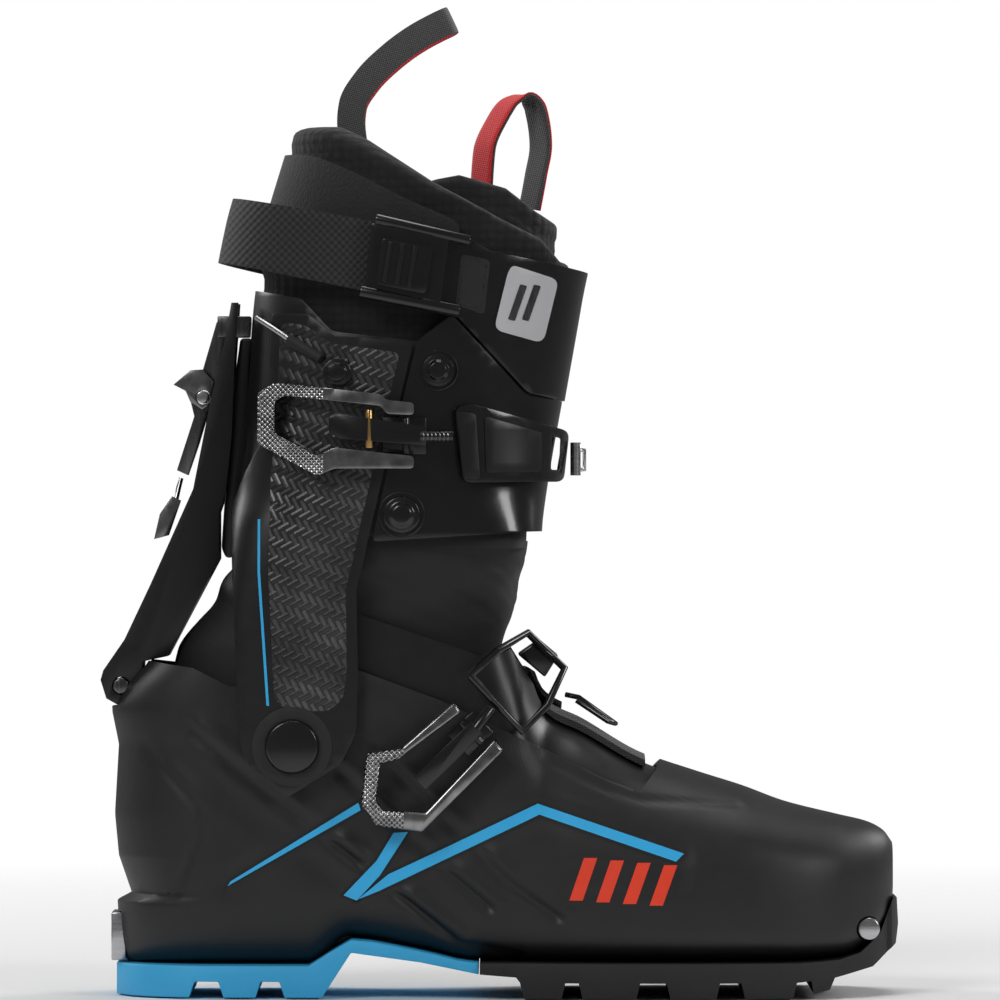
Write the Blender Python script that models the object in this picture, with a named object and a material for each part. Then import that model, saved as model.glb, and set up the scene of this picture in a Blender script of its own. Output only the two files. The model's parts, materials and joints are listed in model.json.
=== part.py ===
"""Alpine touring boot, right foot: shell, cuff, liner, two buckles, power strap and rear lock.

X runs from heel to toe, Z is up and -Y is the outer side of the foot. Dimensions are millimetres.
"""
import math

import bmesh
import bpy
import numpy as np
from mathutils import Matrix, Vector

MM = 0.001
GAP = 0.35  # clearance between neighbouring pieces

ANKLE = (-78.0, 94.7)  # cuff hinge, X and Z
STRUT_FOOT = (-143.6, 116.8)  # lower hinge of the rear strut
LEVER_HINGE = (-105.0, 0.0, 253.0)
BOLT = (-112.9, 0.0, 226.3)
UPPER_PIN_X, UPPER_PIN_OUT = -35.2, 5.2  # hinge of the upper buckle's lever
INSTEP_PIN = (-10.65, 99.9)  # hinge of the instep buckle's lever, X and Z
CAM_HINGE = (-25.2, -55.6, 272.0)
LAYER_GAP = 0.9  # between the layers of the cuff
SHELL_WALL = 3.0
FLAP_WALL = 2.0
ARM_WALL = 2.5
CUFF_WALL = 2.3
LINER_WALL = 6.0
RING = 20  # points around a lofted section

# X, underside, crown, half width, middle Y, height of the widest point, crown exponent
SHELL = (
    (-150.0, 12.3, 230.0, 37.0, 0.0, 62.0, 5.0),
    (-110.0, 12.3, 230.0, 36.8, 0.0, 62.0, 5.0),
    (-72.0, 12.3, 230.0, 38.2, 0.0, 62.0, 5.0),
    (-56.5, 22.2, 230.0, 38.5, 0.0, 60.0, 5.0),
    (-30.0, 18.0, 215.0, 38.5, 0.0, 52.0, 4.5),
    (-8.0, 13.6, 188.0, 41.0, 0.5, 44.0, 3.6),
    (4.0, 13.6, 152.0, 43.0, 1.0, 40.0, 3.0),
    (17.0, 13.6, 112.0, 45.5, 1.5, 37.0, 2.6),
    (31.0, 13.6, 104.6, 48.0, 2.0, 35.0, 2.5),
    (53.5, 13.6, 91.5, 50.5, 3.0, 33.0, 2.5),
    (75.0, 13.6, 84.0, 51.0, 3.5, 32.0, 2.5),
    (92.0, 13.6, 78.6, 50.5, 4.5, 32.0, 2.6),
    (109.0, 13.6, 72.3, 49.0, 6.0, 32.0, 2.7),
    (129.0, 14.6, 67.3, 47.0, 8.0, 34.0, 2.8),
    (140.0, 19.0, 64.6, 45.0, 9.0, 38.0, 3.0),
    (146.0, 27.0, 61.5, 44.0, 9.0, 42.0, 3.0),
    (149.4, 36.8, 57.0, 43.0, 9.0, 46.0, 3.0),
)
SHELL_X = (-146.2, -144.6, -141.0, -134.0, -122.0, -106.0, -88.0, -72.0, -64.0, -56.5, -42.0, -24.0,
           -8.0, 2.0, 10.0, 17.0, 31.0, 45.0, 60.0, 76.0, 92.0, 105.0, 116.0, 126.0, 134.0, 140.5,
           145.0, 147.8, 149.4)
# height and how far the back of the heel stands in front of its rearmost line
HEEL_BACK = ((12.0, 2.0), (35.7, 1.0), (38.0, 6.5), (52.5, 1.5), (68.4, 0.0), (94.7, 1.5), (109.3, -1.5),
             (118.0, 3.0), (127.0, 12.0), (230.0, 40.0))
# Z, rear X, front X, half width, exponent
CUFF = (
    (60.0, -105.5, 15.0, 44.5, 12.0),
    (130.0, -105.0, 15.0, 44.5, 10.0),
    (158.0, -103.5, 15.4, 44.5, 7.5),
    (176.0, -103.0, 16.0, 44.5, 5.0),
    (192.0, -102.0, 18.0, 44.8, 3.2),
    (228.0, -99.5, 24.3, 45.5, 2.4),
    (262.0, -97.0, 30.3, 46.5, 2.3),
    (291.0, -92.0, 35.0, 47.0, 2.3),
    (312.0, -86.0, 34.0, 46.0, 2.3),
    (334.0, -79.0, 32.0, 45.0, 2.3),
)
CUFF_Z = (60.0, 100.0, 130.0, 145.0, 158.0, 166.0, 176.0, 185.0, 195.0, 210.0, 228.0, 245.0, 262.0, 277.0,
          291.0, 302.0, 312.0, 323.0, 334.0)
# Z, rear X, front X, half width of the liner's outer face between foot and cuff
ANKLE_TUBE = (
    (96.0, -125.0, -6.0, 29.0),
    (112.0, -124.0, -5.0, 29.0),
    (130.0, -121.0, -1.5, 29.0),
    (150.0, -105.5, 4.0, 30.5),
    (172.0, -93.0, 9.0, 36.0),
)
ANKLE_Z = (112.3, 122.0, 132.0, 144.0, 158.0, 171.6)
LIP = ((-134.4, 126.6), (-115.5, 123.9), (-101.7, 117.0), (-78.0, 117.5), (-53.3, 123.3), (-21.8, 111.7),
       (11.9, 95.6), (39.9, 82.0), (52.8, 77.7), (64.0, 92.0))
ARM = ((-101.7, 184.3), (-100.1, 143.3), (-97.5, 95.6), (-94.4, 87.2), (-79.7, 75.6), (-59.6, 88.3),
       (-53.9, 99.9), (-53.3, 123.0), (-53.9, 153.9), (-51.2, 164.0), (-49.6, 172.0), (-44.0, 196.0),
       (-36.8, 228.0), (-32.6, 246.0), (-63.0, 249.6), (-72.0, 257.0), (-86.0, 258.0), (-88.5, 212.0),
       (-97.0, 196.0))
PANEL = ((-31.1, 246.6), (-35.8, 227.4), (-42.8, 195.9), (-48.0, 171.6), (10.5, 175.3), (50.0, 175.8),
         (50.0, 220.6), (10.0, 226.6), (-18.2, 256.9))
COLLAR = ((-17.6, 257.8), (10.4, 227.7), (23.8, 224.8), (50.0, 223.6), (50.0, 270.0), (-4.1, 280.8),
          (-12.0, 286.0), (-44.0, 291.0), (-44.0, 262.5))
CUFF_EDGE = ((-115.0, 168.0), (-115.0, 266.8), (-94.0, 266.8), (-74.8, 263.0), (-63.0, 250.5),
             (-32.0, 246.9), (50.0, 246.0), (50.0, 180.0), (-48.0, 174.0), (-62.0, 168.0))
LINER_EDGE = ((-130.0, 172.3), (-130.0, 330.0), (-62.6, 328.0), (-51.6, 323.0), (-25.3, 307.0),
              (1.0, 293.4), (16.8, 286.0), (24.2, 277.7), (60.0, 270.0), (60.0, 172.3))
STRUT = ((-151.4, 119.0), (-150.4, 122.6), (-142.3, 134.4), (-132.4, 155.4), (-116.3, 191.4),
         (-109.5, 226.0), (-104.5, 247.0), (-101.8, 262.0), (-99.2, 262.0), (-100.6, 240.0), (-101.6, 212.0),
         (-103.9, 190.0), (-106.5, 182.5), (-106.5, 164.8), (-126.0, 128.0), (-135.4, 126.0),
         (-136.4, 115.4), (-139.5, 110.6), (-144.6, 109.4), (-149.2, 112.0))


def clear_scene():
    for obj in list(bpy.data.objects):
        bpy.data.objects.remove(obj, do_unlink=True)


def make_collection(name, hidden=False):
    group = bpy.data.collections.new(name)
    bpy.context.scene.collection.children.link(group)
    group.hide_render = hidden
    return group


clear_scene()
BOOT = make_collection("alpine_touring_boot")
CUTTERS = make_collection("cutters", hidden=True)


def put(name, mesh, group=None):
    """A new object that holds the mesh, in the boot's collection or among the cutters."""
    obj = bpy.data.objects.new(name, mesh)
    (group or BOOT).objects.link(obj)
    if group is CUTTERS:
        obj.hide_render = True
        obj.display_type = "WIRE"
    return obj


def from_bmesh(name, bm, group=None):
    bmesh.ops.recalc_face_normals(bm, faces=bm.faces)
    mesh = bpy.data.meshes.new(name)
    bm.to_mesh(mesh)
    bm.free()
    return put(name, mesh, group)


def from_curve(name, data, matrix, group=None):
    """The curve as a mesh, with its caps welded on and the matrix worked into its points."""
    guide = bpy.data.objects.new(name + "_guide", data)
    bpy.context.scene.collection.objects.link(guide)
    graph = bpy.context.evaluated_depsgraph_get()
    mesh = bpy.data.meshes.new_from_object(guide.evaluated_get(graph))
    bpy.data.objects.remove(guide, do_unlink=True)
    bm = bmesh.new()
    bm.from_mesh(mesh)
    bmesh.ops.transform(bm, matrix=matrix, verts=bm.verts)
    bmesh.ops.remove_doubles(bm, verts=bm.verts, dist=1e-6)
    return from_bmesh(name, bm, group)


def plate(name, outline, low, high, group=None, matrix=None):
    """An X-Z outline as a plate from Y = low to Y = high."""
    data = bpy.data.curves.new(name, "CURVE")
    data.dimensions = "2D"
    data.fill_mode = "BOTH"
    data.extrude = (high - low) / 2 * MM
    spline = data.splines.new("POLY")
    spline.points.add(len(outline) - 1)
    for point, (x, z) in zip(spline.points, outline):
        point.co = (x * MM, z * MM, 0.0, 1.0)
    spline.use_cyclic_u = True
    stand = Matrix.Translation((0, (low + high) / 2 * MM, 0)) @ Matrix.Rotation(math.pi / 2, 4, "X")
    return from_curve(name, data, (matrix or Matrix()) @ stand, group)


def slab(name, outline, low, high, group=None):
    """An X-Y outline as a slab from Z = low to Z = high."""
    lay = Matrix.Rotation(-math.pi / 2, 4, "X") @ Matrix.Scale(-1, 4, (0, 1, 0))
    return plate(name, outline, low, high, group, matrix=lay)


def wire(name, points, radius, group=None, sides=2):
    data = bpy.data.curves.new(name, "CURVE")
    data.dimensions = "3D"
    data.bevel_depth = radius * MM
    data.bevel_resolution = sides
    data.use_fill_caps = True
    spline = data.splines.new("POLY")
    spline.points.add(len(points) - 1)
    for point, co in zip(spline.points, points):
        point.co = (co[0] * MM, co[1] * MM, co[2] * MM, 1.0)
    return from_curve(name, data, Matrix(), group)


def rod(name, start, end, radius, group=None, sides=18, end_radius=None):
    """A round bar or a cone between two points."""
    a, b = Vector(start) * MM, Vector(end) * MM
    turn = (b - a).to_track_quat("Z", "Y").to_matrix().to_4x4()
    bm = bmesh.new()
    far = radius if end_radius is None else end_radius
    bmesh.ops.create_cone(bm, cap_ends=True, segments=sides, radius1=radius * MM, radius2=far * MM,
                          depth=(b - a).length, matrix=Matrix.Translation((a + b) / 2) @ turn)
    return from_bmesh(name, bm, group)


def block(name, centre, size, group=None, turn=0.0, axis="Y"):
    bm = bmesh.new()
    scale = Matrix.Diagonal((size[0] * MM, size[1] * MM, size[2] * MM, 1.0))
    at = Matrix.Translation(Vector(centre) * MM) @ Matrix.Rotation(math.radians(turn), 4, axis)
    bmesh.ops.create_cube(bm, size=1.0, matrix=at @ scale)
    return from_bmesh(name, bm, group)


def boolean(target, tool, operation):
    step = target.modifiers.new(operation.lower() + "_" + tool.name, "BOOLEAN")
    step.operation = operation
    step.solver = "EXACT"
    step.object = tool
    for group in list(tool.users_collection):
        group.objects.unlink(tool)
    CUTTERS.objects.link(tool)
    tool.hide_render = True
    tool.display_type = "WIRE"
    return target


def between(at, rows, column):
    """One column of a station table at a position, with smooth slopes and no overshoot."""
    xs = np.array([row[0] for row in rows], float)
    ys = np.array([row[column] for row in rows], float)
    at = float(np.clip(at, xs[0], xs[-1]))
    slope = np.diff(ys) / np.diff(xs)
    a, b = slope[:-1], slope[1:]
    inner = np.where(a * b > 0, 2 * a * b / (a + b + 1e-12), 0.0)
    grade = np.concatenate([[slope[0]], inner, [slope[-1]]])
    i = int(np.clip(np.searchsorted(xs, at) - 1, 0, len(xs) - 2))
    wide = xs[i + 1] - xs[i]
    s = (at - xs[i]) / wide
    return ((1 + 2 * s) * (1 - s) ** 2 * ys[i] + s * (1 - s) ** 2 * wide * grade[i]
            + s * s * (3 - 2 * s) * ys[i + 1] + s * s * (s - 1) * wide * grade[i + 1])


def rounded_box(t, power):
    """Points of a unit superellipse in the directions t."""
    across, up = np.cos(t), np.sin(t)
    reach = (np.abs(across) ** power + np.abs(up) ** power) ** (-1.0 / power)
    return across * reach, up * reach


def plan_half_width(x):
    """Half width of the shell at x, with the heel and the toe rounded off in plan."""
    wide = between(x, SHELL, 3)
    if x < -106:
        wide *= math.sqrt(max(0.0, 1 - ((-106 - x) / 41.0) ** 2))
    if x > 100:
        wide *= max(0.0, 1 - ((x - 100) / 50.6) ** 2.3) ** (1 / 2.3)
    return wide


def shell_ring(x, grow, count=RING):
    """The shell's Y-Z section at x, grown outwards or, if negative, inwards."""
    base, top, middle, widest, power = (between(x, SHELL, c) for c in (1, 2, 4, 5, 6))
    wide = max(plan_half_width(x) + grow, 1.5)
    top, base = top + grow, base - grow
    t = 2 * math.pi * (np.arange(count) + 0.5) / count
    up = np.sin(t) > 0
    n = np.where(up, power, 4.5)
    across, rise = rounded_box(t, n)
    y = middle + wide * across
    z = widest + np.where(up, top - widest, widest - base) * rise
    share = float(np.clip((-95 - x) / 45.0, 0, 1))
    back = np.interp(z, [row[0] for row in HEEL_BACK], [row[1] for row in HEEL_BACK])
    return np.stack([x + share * back, y, z], axis=1)


def cuff_ring(z, grow, rear_extra=0.0, count=RING):
    """The cuff's X-Y section at height z."""
    rear, front, wide, power = (between(z, CUFF, c) for c in (1, 2, 3, 4))
    rear, front, wide = rear - grow - rear_extra, front + grow, wide + grow
    t = 2 * math.pi * (np.arange(count) + 0.5) / count
    along, out = rounded_box(t, power)
    x = (rear + front) / 2 + (front - rear) / 2 * along
    return np.stack([x, wide * out, np.full(count, z)], axis=1)


def ankle_ring(z, grow, count=RING):
    rear, front, wide = (between(z, ANKLE_TUBE, c) for c in (1, 2, 3))
    t = 2 * math.pi * (np.arange(count) + 0.5) / count
    along, out = rounded_box(t, 2.35)
    x = (rear + front) / 2 + ((front - rear) / 2 + grow) * along
    return np.stack([x, (wide + grow) * out, np.full(count, z)], axis=1)


def loft(name, rings, group=None):
    """A solid through a row of sections, each end closed by a ladder of faces from side to side."""
    bm = bmesh.new()
    rows = [[bm.verts.new(Vector(point) * MM) for point in ring] for ring in rings]
    count = len(rows[0])
    for low, high in zip(rows, rows[1:]):
        for i in range(count):
            bm.faces.new((low[i], low[(i + 1) % count], high[(i + 1) % count], high[i]))
    for row in (rows[0], rows[-1]):
        for i in range(-count // 4, count // 4 - 1):
            bm.faces.new((row[i], row[i + 1], row[count // 2 - 2 - i], row[count // 2 - 1 - i]))
    return from_bmesh(name, bm, group)


def tube(name, outer, inner, group=None):
    """A wall between two rows of sections, open at both ends."""
    bm = bmesh.new()
    rows = [[bm.verts.new(Vector(point) * MM) for point in ring] for ring in list(outer) + list(inner)[::-1]]
    count = len(rows[0])
    for low, high in zip(rows, rows[1:] + rows[:1]):
        for i in range(count):
            bm.faces.new((low[i], low[(i + 1) % count], high[(i + 1) % count], high[i]))
    return from_bmesh(name, bm, group)


def cuff_layer(name, heights, low, high, rear_extra=0.0, group=None, count=RING):
    outer = [cuff_ring(z, high, rear_extra, count) for z in heights]
    inner = [cuff_ring(z, low, rear_extra, count) for z in heights]
    return tube(name, outer, inner, group)


def heights_of(outline):
    """The shared section heights that reach past an outline at both ends, so that layers nest."""
    zs = [z for _, z in outline]
    first = max(i for i, z in enumerate(CUFF_Z) if z < min(zs))
    last = min(i for i, z in enumerate(CUFF_Z) if z > max(zs))
    return CUFF_Z[first:last + 1]


def wrap(name, outline, low, high, side=-1, rear_extra=0.0, count=RING):
    """A piece of a layer around the cuff, trimmed to an X-Z outline. Side 0 keeps both sides."""
    layer = cuff_layer(name, heights_of(outline), low, high, rear_extra, count=count)
    near, far = {-1: (-80, -0.5), 1: (0.5, 80), 0: (-80, 80)}[side]
    return boolean(layer, plate(name + "_trim", outline, near, far, CUTTERS), "INTERSECT")


def shell_layer(name, low, high, stations=SHELL_X, count=RING):
    """A closed layer over the whole shell."""
    outer = loft(name, [shell_ring(x, high, count) for x in stations])
    inset = [min(max(x, stations[0] - min(low, 0)), stations[-1] + min(low, 0)) for x in stations]
    inner = loft(name + "_core", [shell_ring(x, low, count) for x in dict.fromkeys(inset)], CUTTERS)
    return boolean(outer, inner, "DIFFERENCE")


def material(name, colour, metallic=0.0, roughness=0.5):
    mat = bpy.data.materials.new(name)
    mat.use_nodes = True
    shader = mat.node_tree.nodes["Principled BSDF"]
    shader.inputs["Base Color"].default_value = (*colour, 1.0)
    shader.inputs["Metallic"].default_value = metallic
    shader.inputs["Roughness"].default_value = roughness
    mat.diffuse_color = (*colour, 1.0)
    return mat


FINISHES = {
    "shell": ((0.030, 0.030, 0.033), 0.0, 0.50),
    "gloss": ((0.012, 0.012, 0.013), 0.0, 0.25),
    "cuff": ((0.020, 0.020, 0.022), 0.0, 0.40),
    "carbon": ((0.028, 0.028, 0.030), 0.1, 0.22),
    "blue": ((0.04, 0.36, 0.62), 0.0, 0.50),
    "rubber": ((0.024, 0.024, 0.024), 0.0, 0.75),
    "steel": ((0.62, 0.63, 0.65), 1.0, 0.30),
    "gunmetal": ((0.16, 0.16, 0.17), 1.0, 0.28),
    "cloth": ((0.016, 0.016, 0.017), 0.0, 0.90),
    "web": ((0.035, 0.035, 0.038), 0.0, 0.80),
    "loop": ((0.09, 0.09, 0.10), 0.0, 0.85),
    "badge": ((0.60, 0.62, 0.64), 0.2, 0.40),
}


def finish(obj, kind):
    colour, metallic, roughness = FINISHES[kind]
    obj.data.materials.clear()
    obj.data.materials.append(material(obj.name + "_" + kind, colour, metallic, roughness))
    return obj


def lower_shell():
    shell = shell_layer("lower_shell", -SHELL_WALL, 0.0)
    above = LIP + ((70.0, 400.0), (-200.0, 400.0), (-200.0, 126.6))
    boolean(shell, plate("shell_mouth", above, -90, 90, CUTTERS), "DIFFERENCE")
    throat = [(-60.0, 190.0), (-60.0, 100.0), (12.0, 90.0), (56.0, 70.0), (56.0, 190.0)]
    boolean(shell, plate("shell_throat", throat, -15.5, 17.5, CUTTERS), "DIFFERENCE")
    drill = rod("shell_pivot_hole", (ANKLE[0], -60, ANKLE[1]), (ANKLE[0], 60, ANKLE[1]), 5.2, CUTTERS)
    boolean(shell, drill, "DIFFERENCE")
    for name, side in (("lateral", -1), ("medial", 1)):
        y = toe_insert_face(side)
        inner, outer = (139.3, y - side * 6, 25.2), (139.3, y + side * 9, 25.2)
        hole = rod(f"insert_hole_{name}", inner, outer, 4.8, CUTTERS)
        boolean(shell, hole, "DIFFERENCE")
    boolean(shell, block("heel_pocket", (-149, 0, 21.5), (15.0, 23.4, 19.6), CUTTERS), "DIFFERENCE")
    boolean(shell, block("cradle_pocket", (-143.6, 0, 118.0), (30.0, 28.0, 18.0), CUTTERS), "DIFFERENCE")
    return finish(shell, "shell")


def toe_insert_face(side):
    return between(139.3, SHELL, 4) + side * (plan_half_width(139.3) + 0.6)


def overlap_flap():
    flap = shell_layer("overlap_flap", -SHELL_WALL - 0.8 - FLAP_WALL, -SHELL_WALL - 0.8)
    keep = [(-62.0, 96.0), (-62.0, 140.0), (-53.3, 144.3), (-4.9, 127.5), (4.0, 131.0), (17.6, 109.3),
            (74.0, 110.0), (74.0, 60.0), (20.0, 64.0), (-30.0, 84.0)]
    boolean(flap, plate("flap_trim", keep, -90, 90, CUTTERS), "INTERSECT")
    return finish(flap, "shell")


def instep_panel():
    panel = shell_layer("instep_panel", -2.7, -0.3)
    keep = [(17.6, 103.0), (17.6, 114.0), (31.0, 108.0), (55.0, 96.0), (55.0, 80.0), (37.0, 88.0)]
    boolean(panel, plate("panel_trim", keep, -15.0, 17.0, CUTTERS), "INTERSECT")
    return finish(panel, "cloth")


def gaiter():
    outer = [ankle_ring(z, 1.6) for z in ANKLE_Z]
    inner = [ankle_ring(z, 0.5) for z in ANKLE_Z]
    return finish(tube("gaiter", outer, inner), "cloth")


def foot_liner():
    low = -SHELL_WALL - FLAP_WALL - 2.2
    foot = loft("foot_liner", [shell_ring(x, low) for x in (-135.5, *SHELL_X[3:25])])
    boolean(foot, block("liner_top", (0, 0, 211.5), (400, 200, 200), CUTTERS), "DIFFERENCE")
    leg = loft("liner_leg", [ankle_ring(z, 0) for z in (96.0, *ANKLE_Z)], CUTTERS)
    boolean(foot, leg, "UNION")
    thin = low - LINER_WALL
    room = loft("liner_room", [shell_ring(x, thin) for x in (-131, *SHELL_X[4:25])], CUTTERS)
    boolean(room, block("room_top", (0, 0, 206.0), (400, 200, 200), CUTTERS), "DIFFERENCE")
    boolean(foot, room, "DIFFERENCE")
    shaft = loft("liner_shaft", [ankle_ring(z, -LINER_WALL) for z in (97.0, *ANKLE_Z[:-1], 176.0)], CUTTERS)
    boolean(foot, shaft, "DIFFERENCE")
    return finish(foot, "cloth")


def sole_outline(start, end, grow):
    xs = [x for x in np.arange(-145.5, 151.5, 6.0) if start + 2 < x < end - 2]
    xs = [start, *xs, end]
    right = [(x, between(x, SHELL, 4) - max(plan_half_width(x) + grow, 6.0)) for x in xs]
    left = [(x, between(x, SHELL, 4) + max(plan_half_width(x) + grow, 6.0)) for x in reversed(xs)]
    return right + left


def sole_top(start, end, step=8.0):
    xs = [start, *[x for x in np.arange(-144.0, 152.0, step) if start + 1 < x < end - 1], end]
    return [(x, between(x, SHELL, 1) - GAP) for x in reversed(xs)]


def heel_outsole():
    under = [(-145.4, 0.0), (-117.0, 0.0), (-115.0, 6.0), (-106.0, 6.0), (-104.0, 0.0), (-92.0, 0.0),
             (-90.0, 6.0), (-83.0, 6.0), (-81.0, 0.0), (-67.0, 0.0), (-56.0, 17.0), (-30.0, 13.4),
             (-8.0, 9.0)]
    sole = slab("heel_outsole", sole_outline(-145.9, 2.0, 0.0), -2.0, 24.0)
    boolean(sole, plate("heel_side", under + sole_top(-145.4, -8.0), -90, 90, CUTTERS), "INTERSECT")
    return finish(sole, "blue")


def forefoot_outsole():
    under = [(-7.6, 9.0), (6.0, 8.0)]
    for left, right in ((9, 23), (31, 51), (64, 81), (92, 110)):
        under += [(left - 1.5, 6.0), (left, 0.0), (right, 0.0), (right + 1.5, 6.0)]
    under += [(117.0, 6.5), (118.0, 1.5), (124.0, 3.0), (126.0, 7.5), (140.9, 11.0), (150.4, 18.9),
              (151.4, 26.4), (150.8, 36.3)]
    sole = slab("forefoot_outsole", sole_outline(-20.0, 148.7, 1.31), -2.0, 40.0)
    tip_edge = [(136.0, -14.0), (148.6, -10.0), (151.4, -3.0), (151.4, 21.0), (148.6, 28.0), (136.0, 32.0)]
    tip = slab("toe_tip", tip_edge, -1.0, 39.0, CUTTERS)
    boolean(sole, tip, "UNION")
    boolean(sole, plate("forefoot_side", under + sole_top(-7.6, 149.4), -90, 90, CUTTERS), "INTERSECT")
    boolean(sole, loft("forefoot_bed", [shell_ring(x, GAP) for x in SHELL_X[10:]], CUTTERS), "DIFFERENCE")
    return finish(sole, "rubber")


def toe_inserts():
    for name, side in (("lateral", -1), ("medial", 1)):
        y = toe_insert_face(side)
        pin = rod(f"toe_insert_{name}", (139.3, y - side * 4.0, 25.2), (139.3, y + side * 0.6, 25.2), 4.2)
        finish(pin, "steel")


def heel_fitting():
    body = block("heel_fitting", (-144.6, 0, 21.8), (5.6, 22.4, 18.2))
    for y in (-6.0, 6.0):
        slot = block(f"fitting_slot{y:+.0f}", (-147.4, y, 23.0), (6.0, 3.4, 9.0), CUTTERS)
        boolean(body, slot, "DIFFERENCE")
    return finish(body, "steel")


def pivot_caps():
    for name, side in (("lateral", -1), ("medial", 1)):
        at = lambda y: (ANKLE[0], side * y, ANKLE[1])
        cap = rod(f"pivot_{name}", at(44.9), at(47.6), 10.5, end_radius=9.6, sides=28)
        boolean(cap, rod(f"pivot_shaft_{name}", at(35.4), at(46.0), 4.8, CUTTERS), "UNION")
        finish(cap, "gloss")


def cuff_shell():
    layer = cuff_layer("cuff_shell", CUFF_Z[5:14], -ARM_WALL - LAYER_GAP - CUFF_WALL,
                       -ARM_WALL - LAYER_GAP)
    boolean(layer, plate("cuff_shell_trim", CUFF_EDGE, -90, 90, CUTTERS), "INTERSECT")
    return finish(layer, "cuff")


def carbon_arms():
    for name, side in (("lateral", -1), ("medial", 1)):
        arm = wrap(f"carbon_arm_{name}", ARM, -ARM_WALL, 0.0, side)
        inner, outer = (ANKLE[0], side * 30, ANKLE[1]), (ANKLE[0], side * 60, ANKLE[1])
        hole = rod(f"arm_hole_{name}", inner, outer, 5.2, CUTTERS)
        boolean(arm, hole, "DIFFERENCE")
        finish(arm, "carbon")


def front_panels():
    finish(wrap("front_panel", PANEL, -ARM_WALL, 0.0, 0), "gloss")
    finish(wrap("front_collar", COLLAR, -ARM_WALL, 0.9, 0), "gloss")
    badge = ((2.9, 272.4), (4.6, 275.4), (20.4, 270.6), (21.8, 268.6), (16.8, 248.2), (14.6, 246.6),
             (-0.4, 250.6), (-1.9, 252.8))
    finish(wrap("badge", badge, 0.9 + GAP, 2.0), "badge")


def surface_y(x, z, grow, side=-1, rear_extra=0.0):
    """Y of the cuff's face over a point seen from the side."""
    rear, front, wide, power = (between(z, CUFF, c) for c in (1, 2, 3, 4))
    rear, front, wide = rear - grow - rear_extra, front + grow, wide + grow
    u = min(abs((x - (rear + front) / 2) / ((front - rear) / 2)), 0.999)
    return side * wide * (1 - u ** power) ** (1 / power)


def rivets():
    for name, side in (("lateral", -1), ("medial", 1)):
        for level, x, z, radius in (("upper", -23.3, 235.8, 6.0), ("lower", -36.9, 181.7, 7.0)):
            y = surface_y(x, z, 0, side)
            low, mid, top = ((x, y + side * d, z) for d in (0.5, 1.6, 3.0))
            head = rod(f"rivet_{level}_{name}", low, mid, radius, sides=24)
            dome = rod(f"rivet_dome_{level}_{name}", (x, y + side * 1.0, z), top, radius * 0.78, CUTTERS,
                       24, radius * 0.5)
            boolean(head, dome, "UNION")
            finish(head, "gloss")


def ribbon(name, path, width_ways, width, thick):
    """A flat band swept along a path, its faces turned by the width directions."""
    path = np.array(path, float)
    along = np.gradient(path, axis=0)
    rings = []
    for point, way, run in zip(path, width_ways, along):
        run = run / np.linalg.norm(run)
        way = np.array(way, float) - run * np.dot(way, run)
        way /= np.linalg.norm(way)
        face = np.cross(run, way)
        half, deep = way * width / 2, face * thick / 2
        rings.append([point - half - deep, point + half - deep, point + half + deep, point - half + deep])
    return loft(name, rings)


def upper_buckle():
    mid = 211.3
    pin_y = surface_y(UPPER_PIN_X, mid, UPPER_PIN_OUT)
    plate_edge = ((-44.0, 204.3), (-44.0, 218.2), (-27.5, 218.2), (-27.5, 204.3))
    base = wrap("upper_buckle_base", plate_edge, GAP, 3.2)
    low, high = (UPPER_PIN_X, pin_y, 204.3), (UPPER_PIN_X, pin_y, 218.2)
    boolean(base, rod("upper_pin", low, high, 1.5, CUTTERS, 12), "UNION")
    boolean(base, block("upper_ear", (UPPER_PIN_X, pin_y + 1.8, 211.2), (2.6, 3.6, 5.0), CUTTERS), "UNION")
    finish(base, "gloss")
    frame = ((-91.0, 227.4), (-91.0, 208.3), (-68.4, 196.3), (-62.0, 199.0), (-32.2, 199.0), (-32.2, 203.6),
             (-62.0, 206.8), (-68.5, 203.6), (-84.6, 212.2), (-84.6, 224.2), (-81.0, 226.4), (-44.4, 222.4),
             (-42.5, 219.4), (-32.2, 219.0), (-32.2, 223.6), (-42.5, 224.6), (-44.4, 226.8), (-84.4, 231.2))
    finish(wrap("upper_buckle_lever", frame, 4.2, 9.0), "gunmetal")
    bar = ((-64.0, 217.6), (-64.0, 212.4), (-60.0, 210.2), (-27.6, 207.6), (-27.6, 214.6), (-60.0, 219.4))
    link = wrap("upper_buckle_link", bar, 7.4, 10.2)
    ends = [(x, surface_y(x, 211, 8.8), 211.1) for x in (-30.0, -17.7)]
    boolean(link, rod("upper_thread", ends[0], ends[1], 2.2, CUTTERS, 14), "UNION")
    y = surface_y(-48.9, 213, 8.4)
    boolean(link, rod("upper_cross_pin", (-48.9, y, 207.6), (-48.9, y, 221.2), 1.3, CUTTERS, 10), "UNION")
    finish(link, "gloss")


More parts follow.
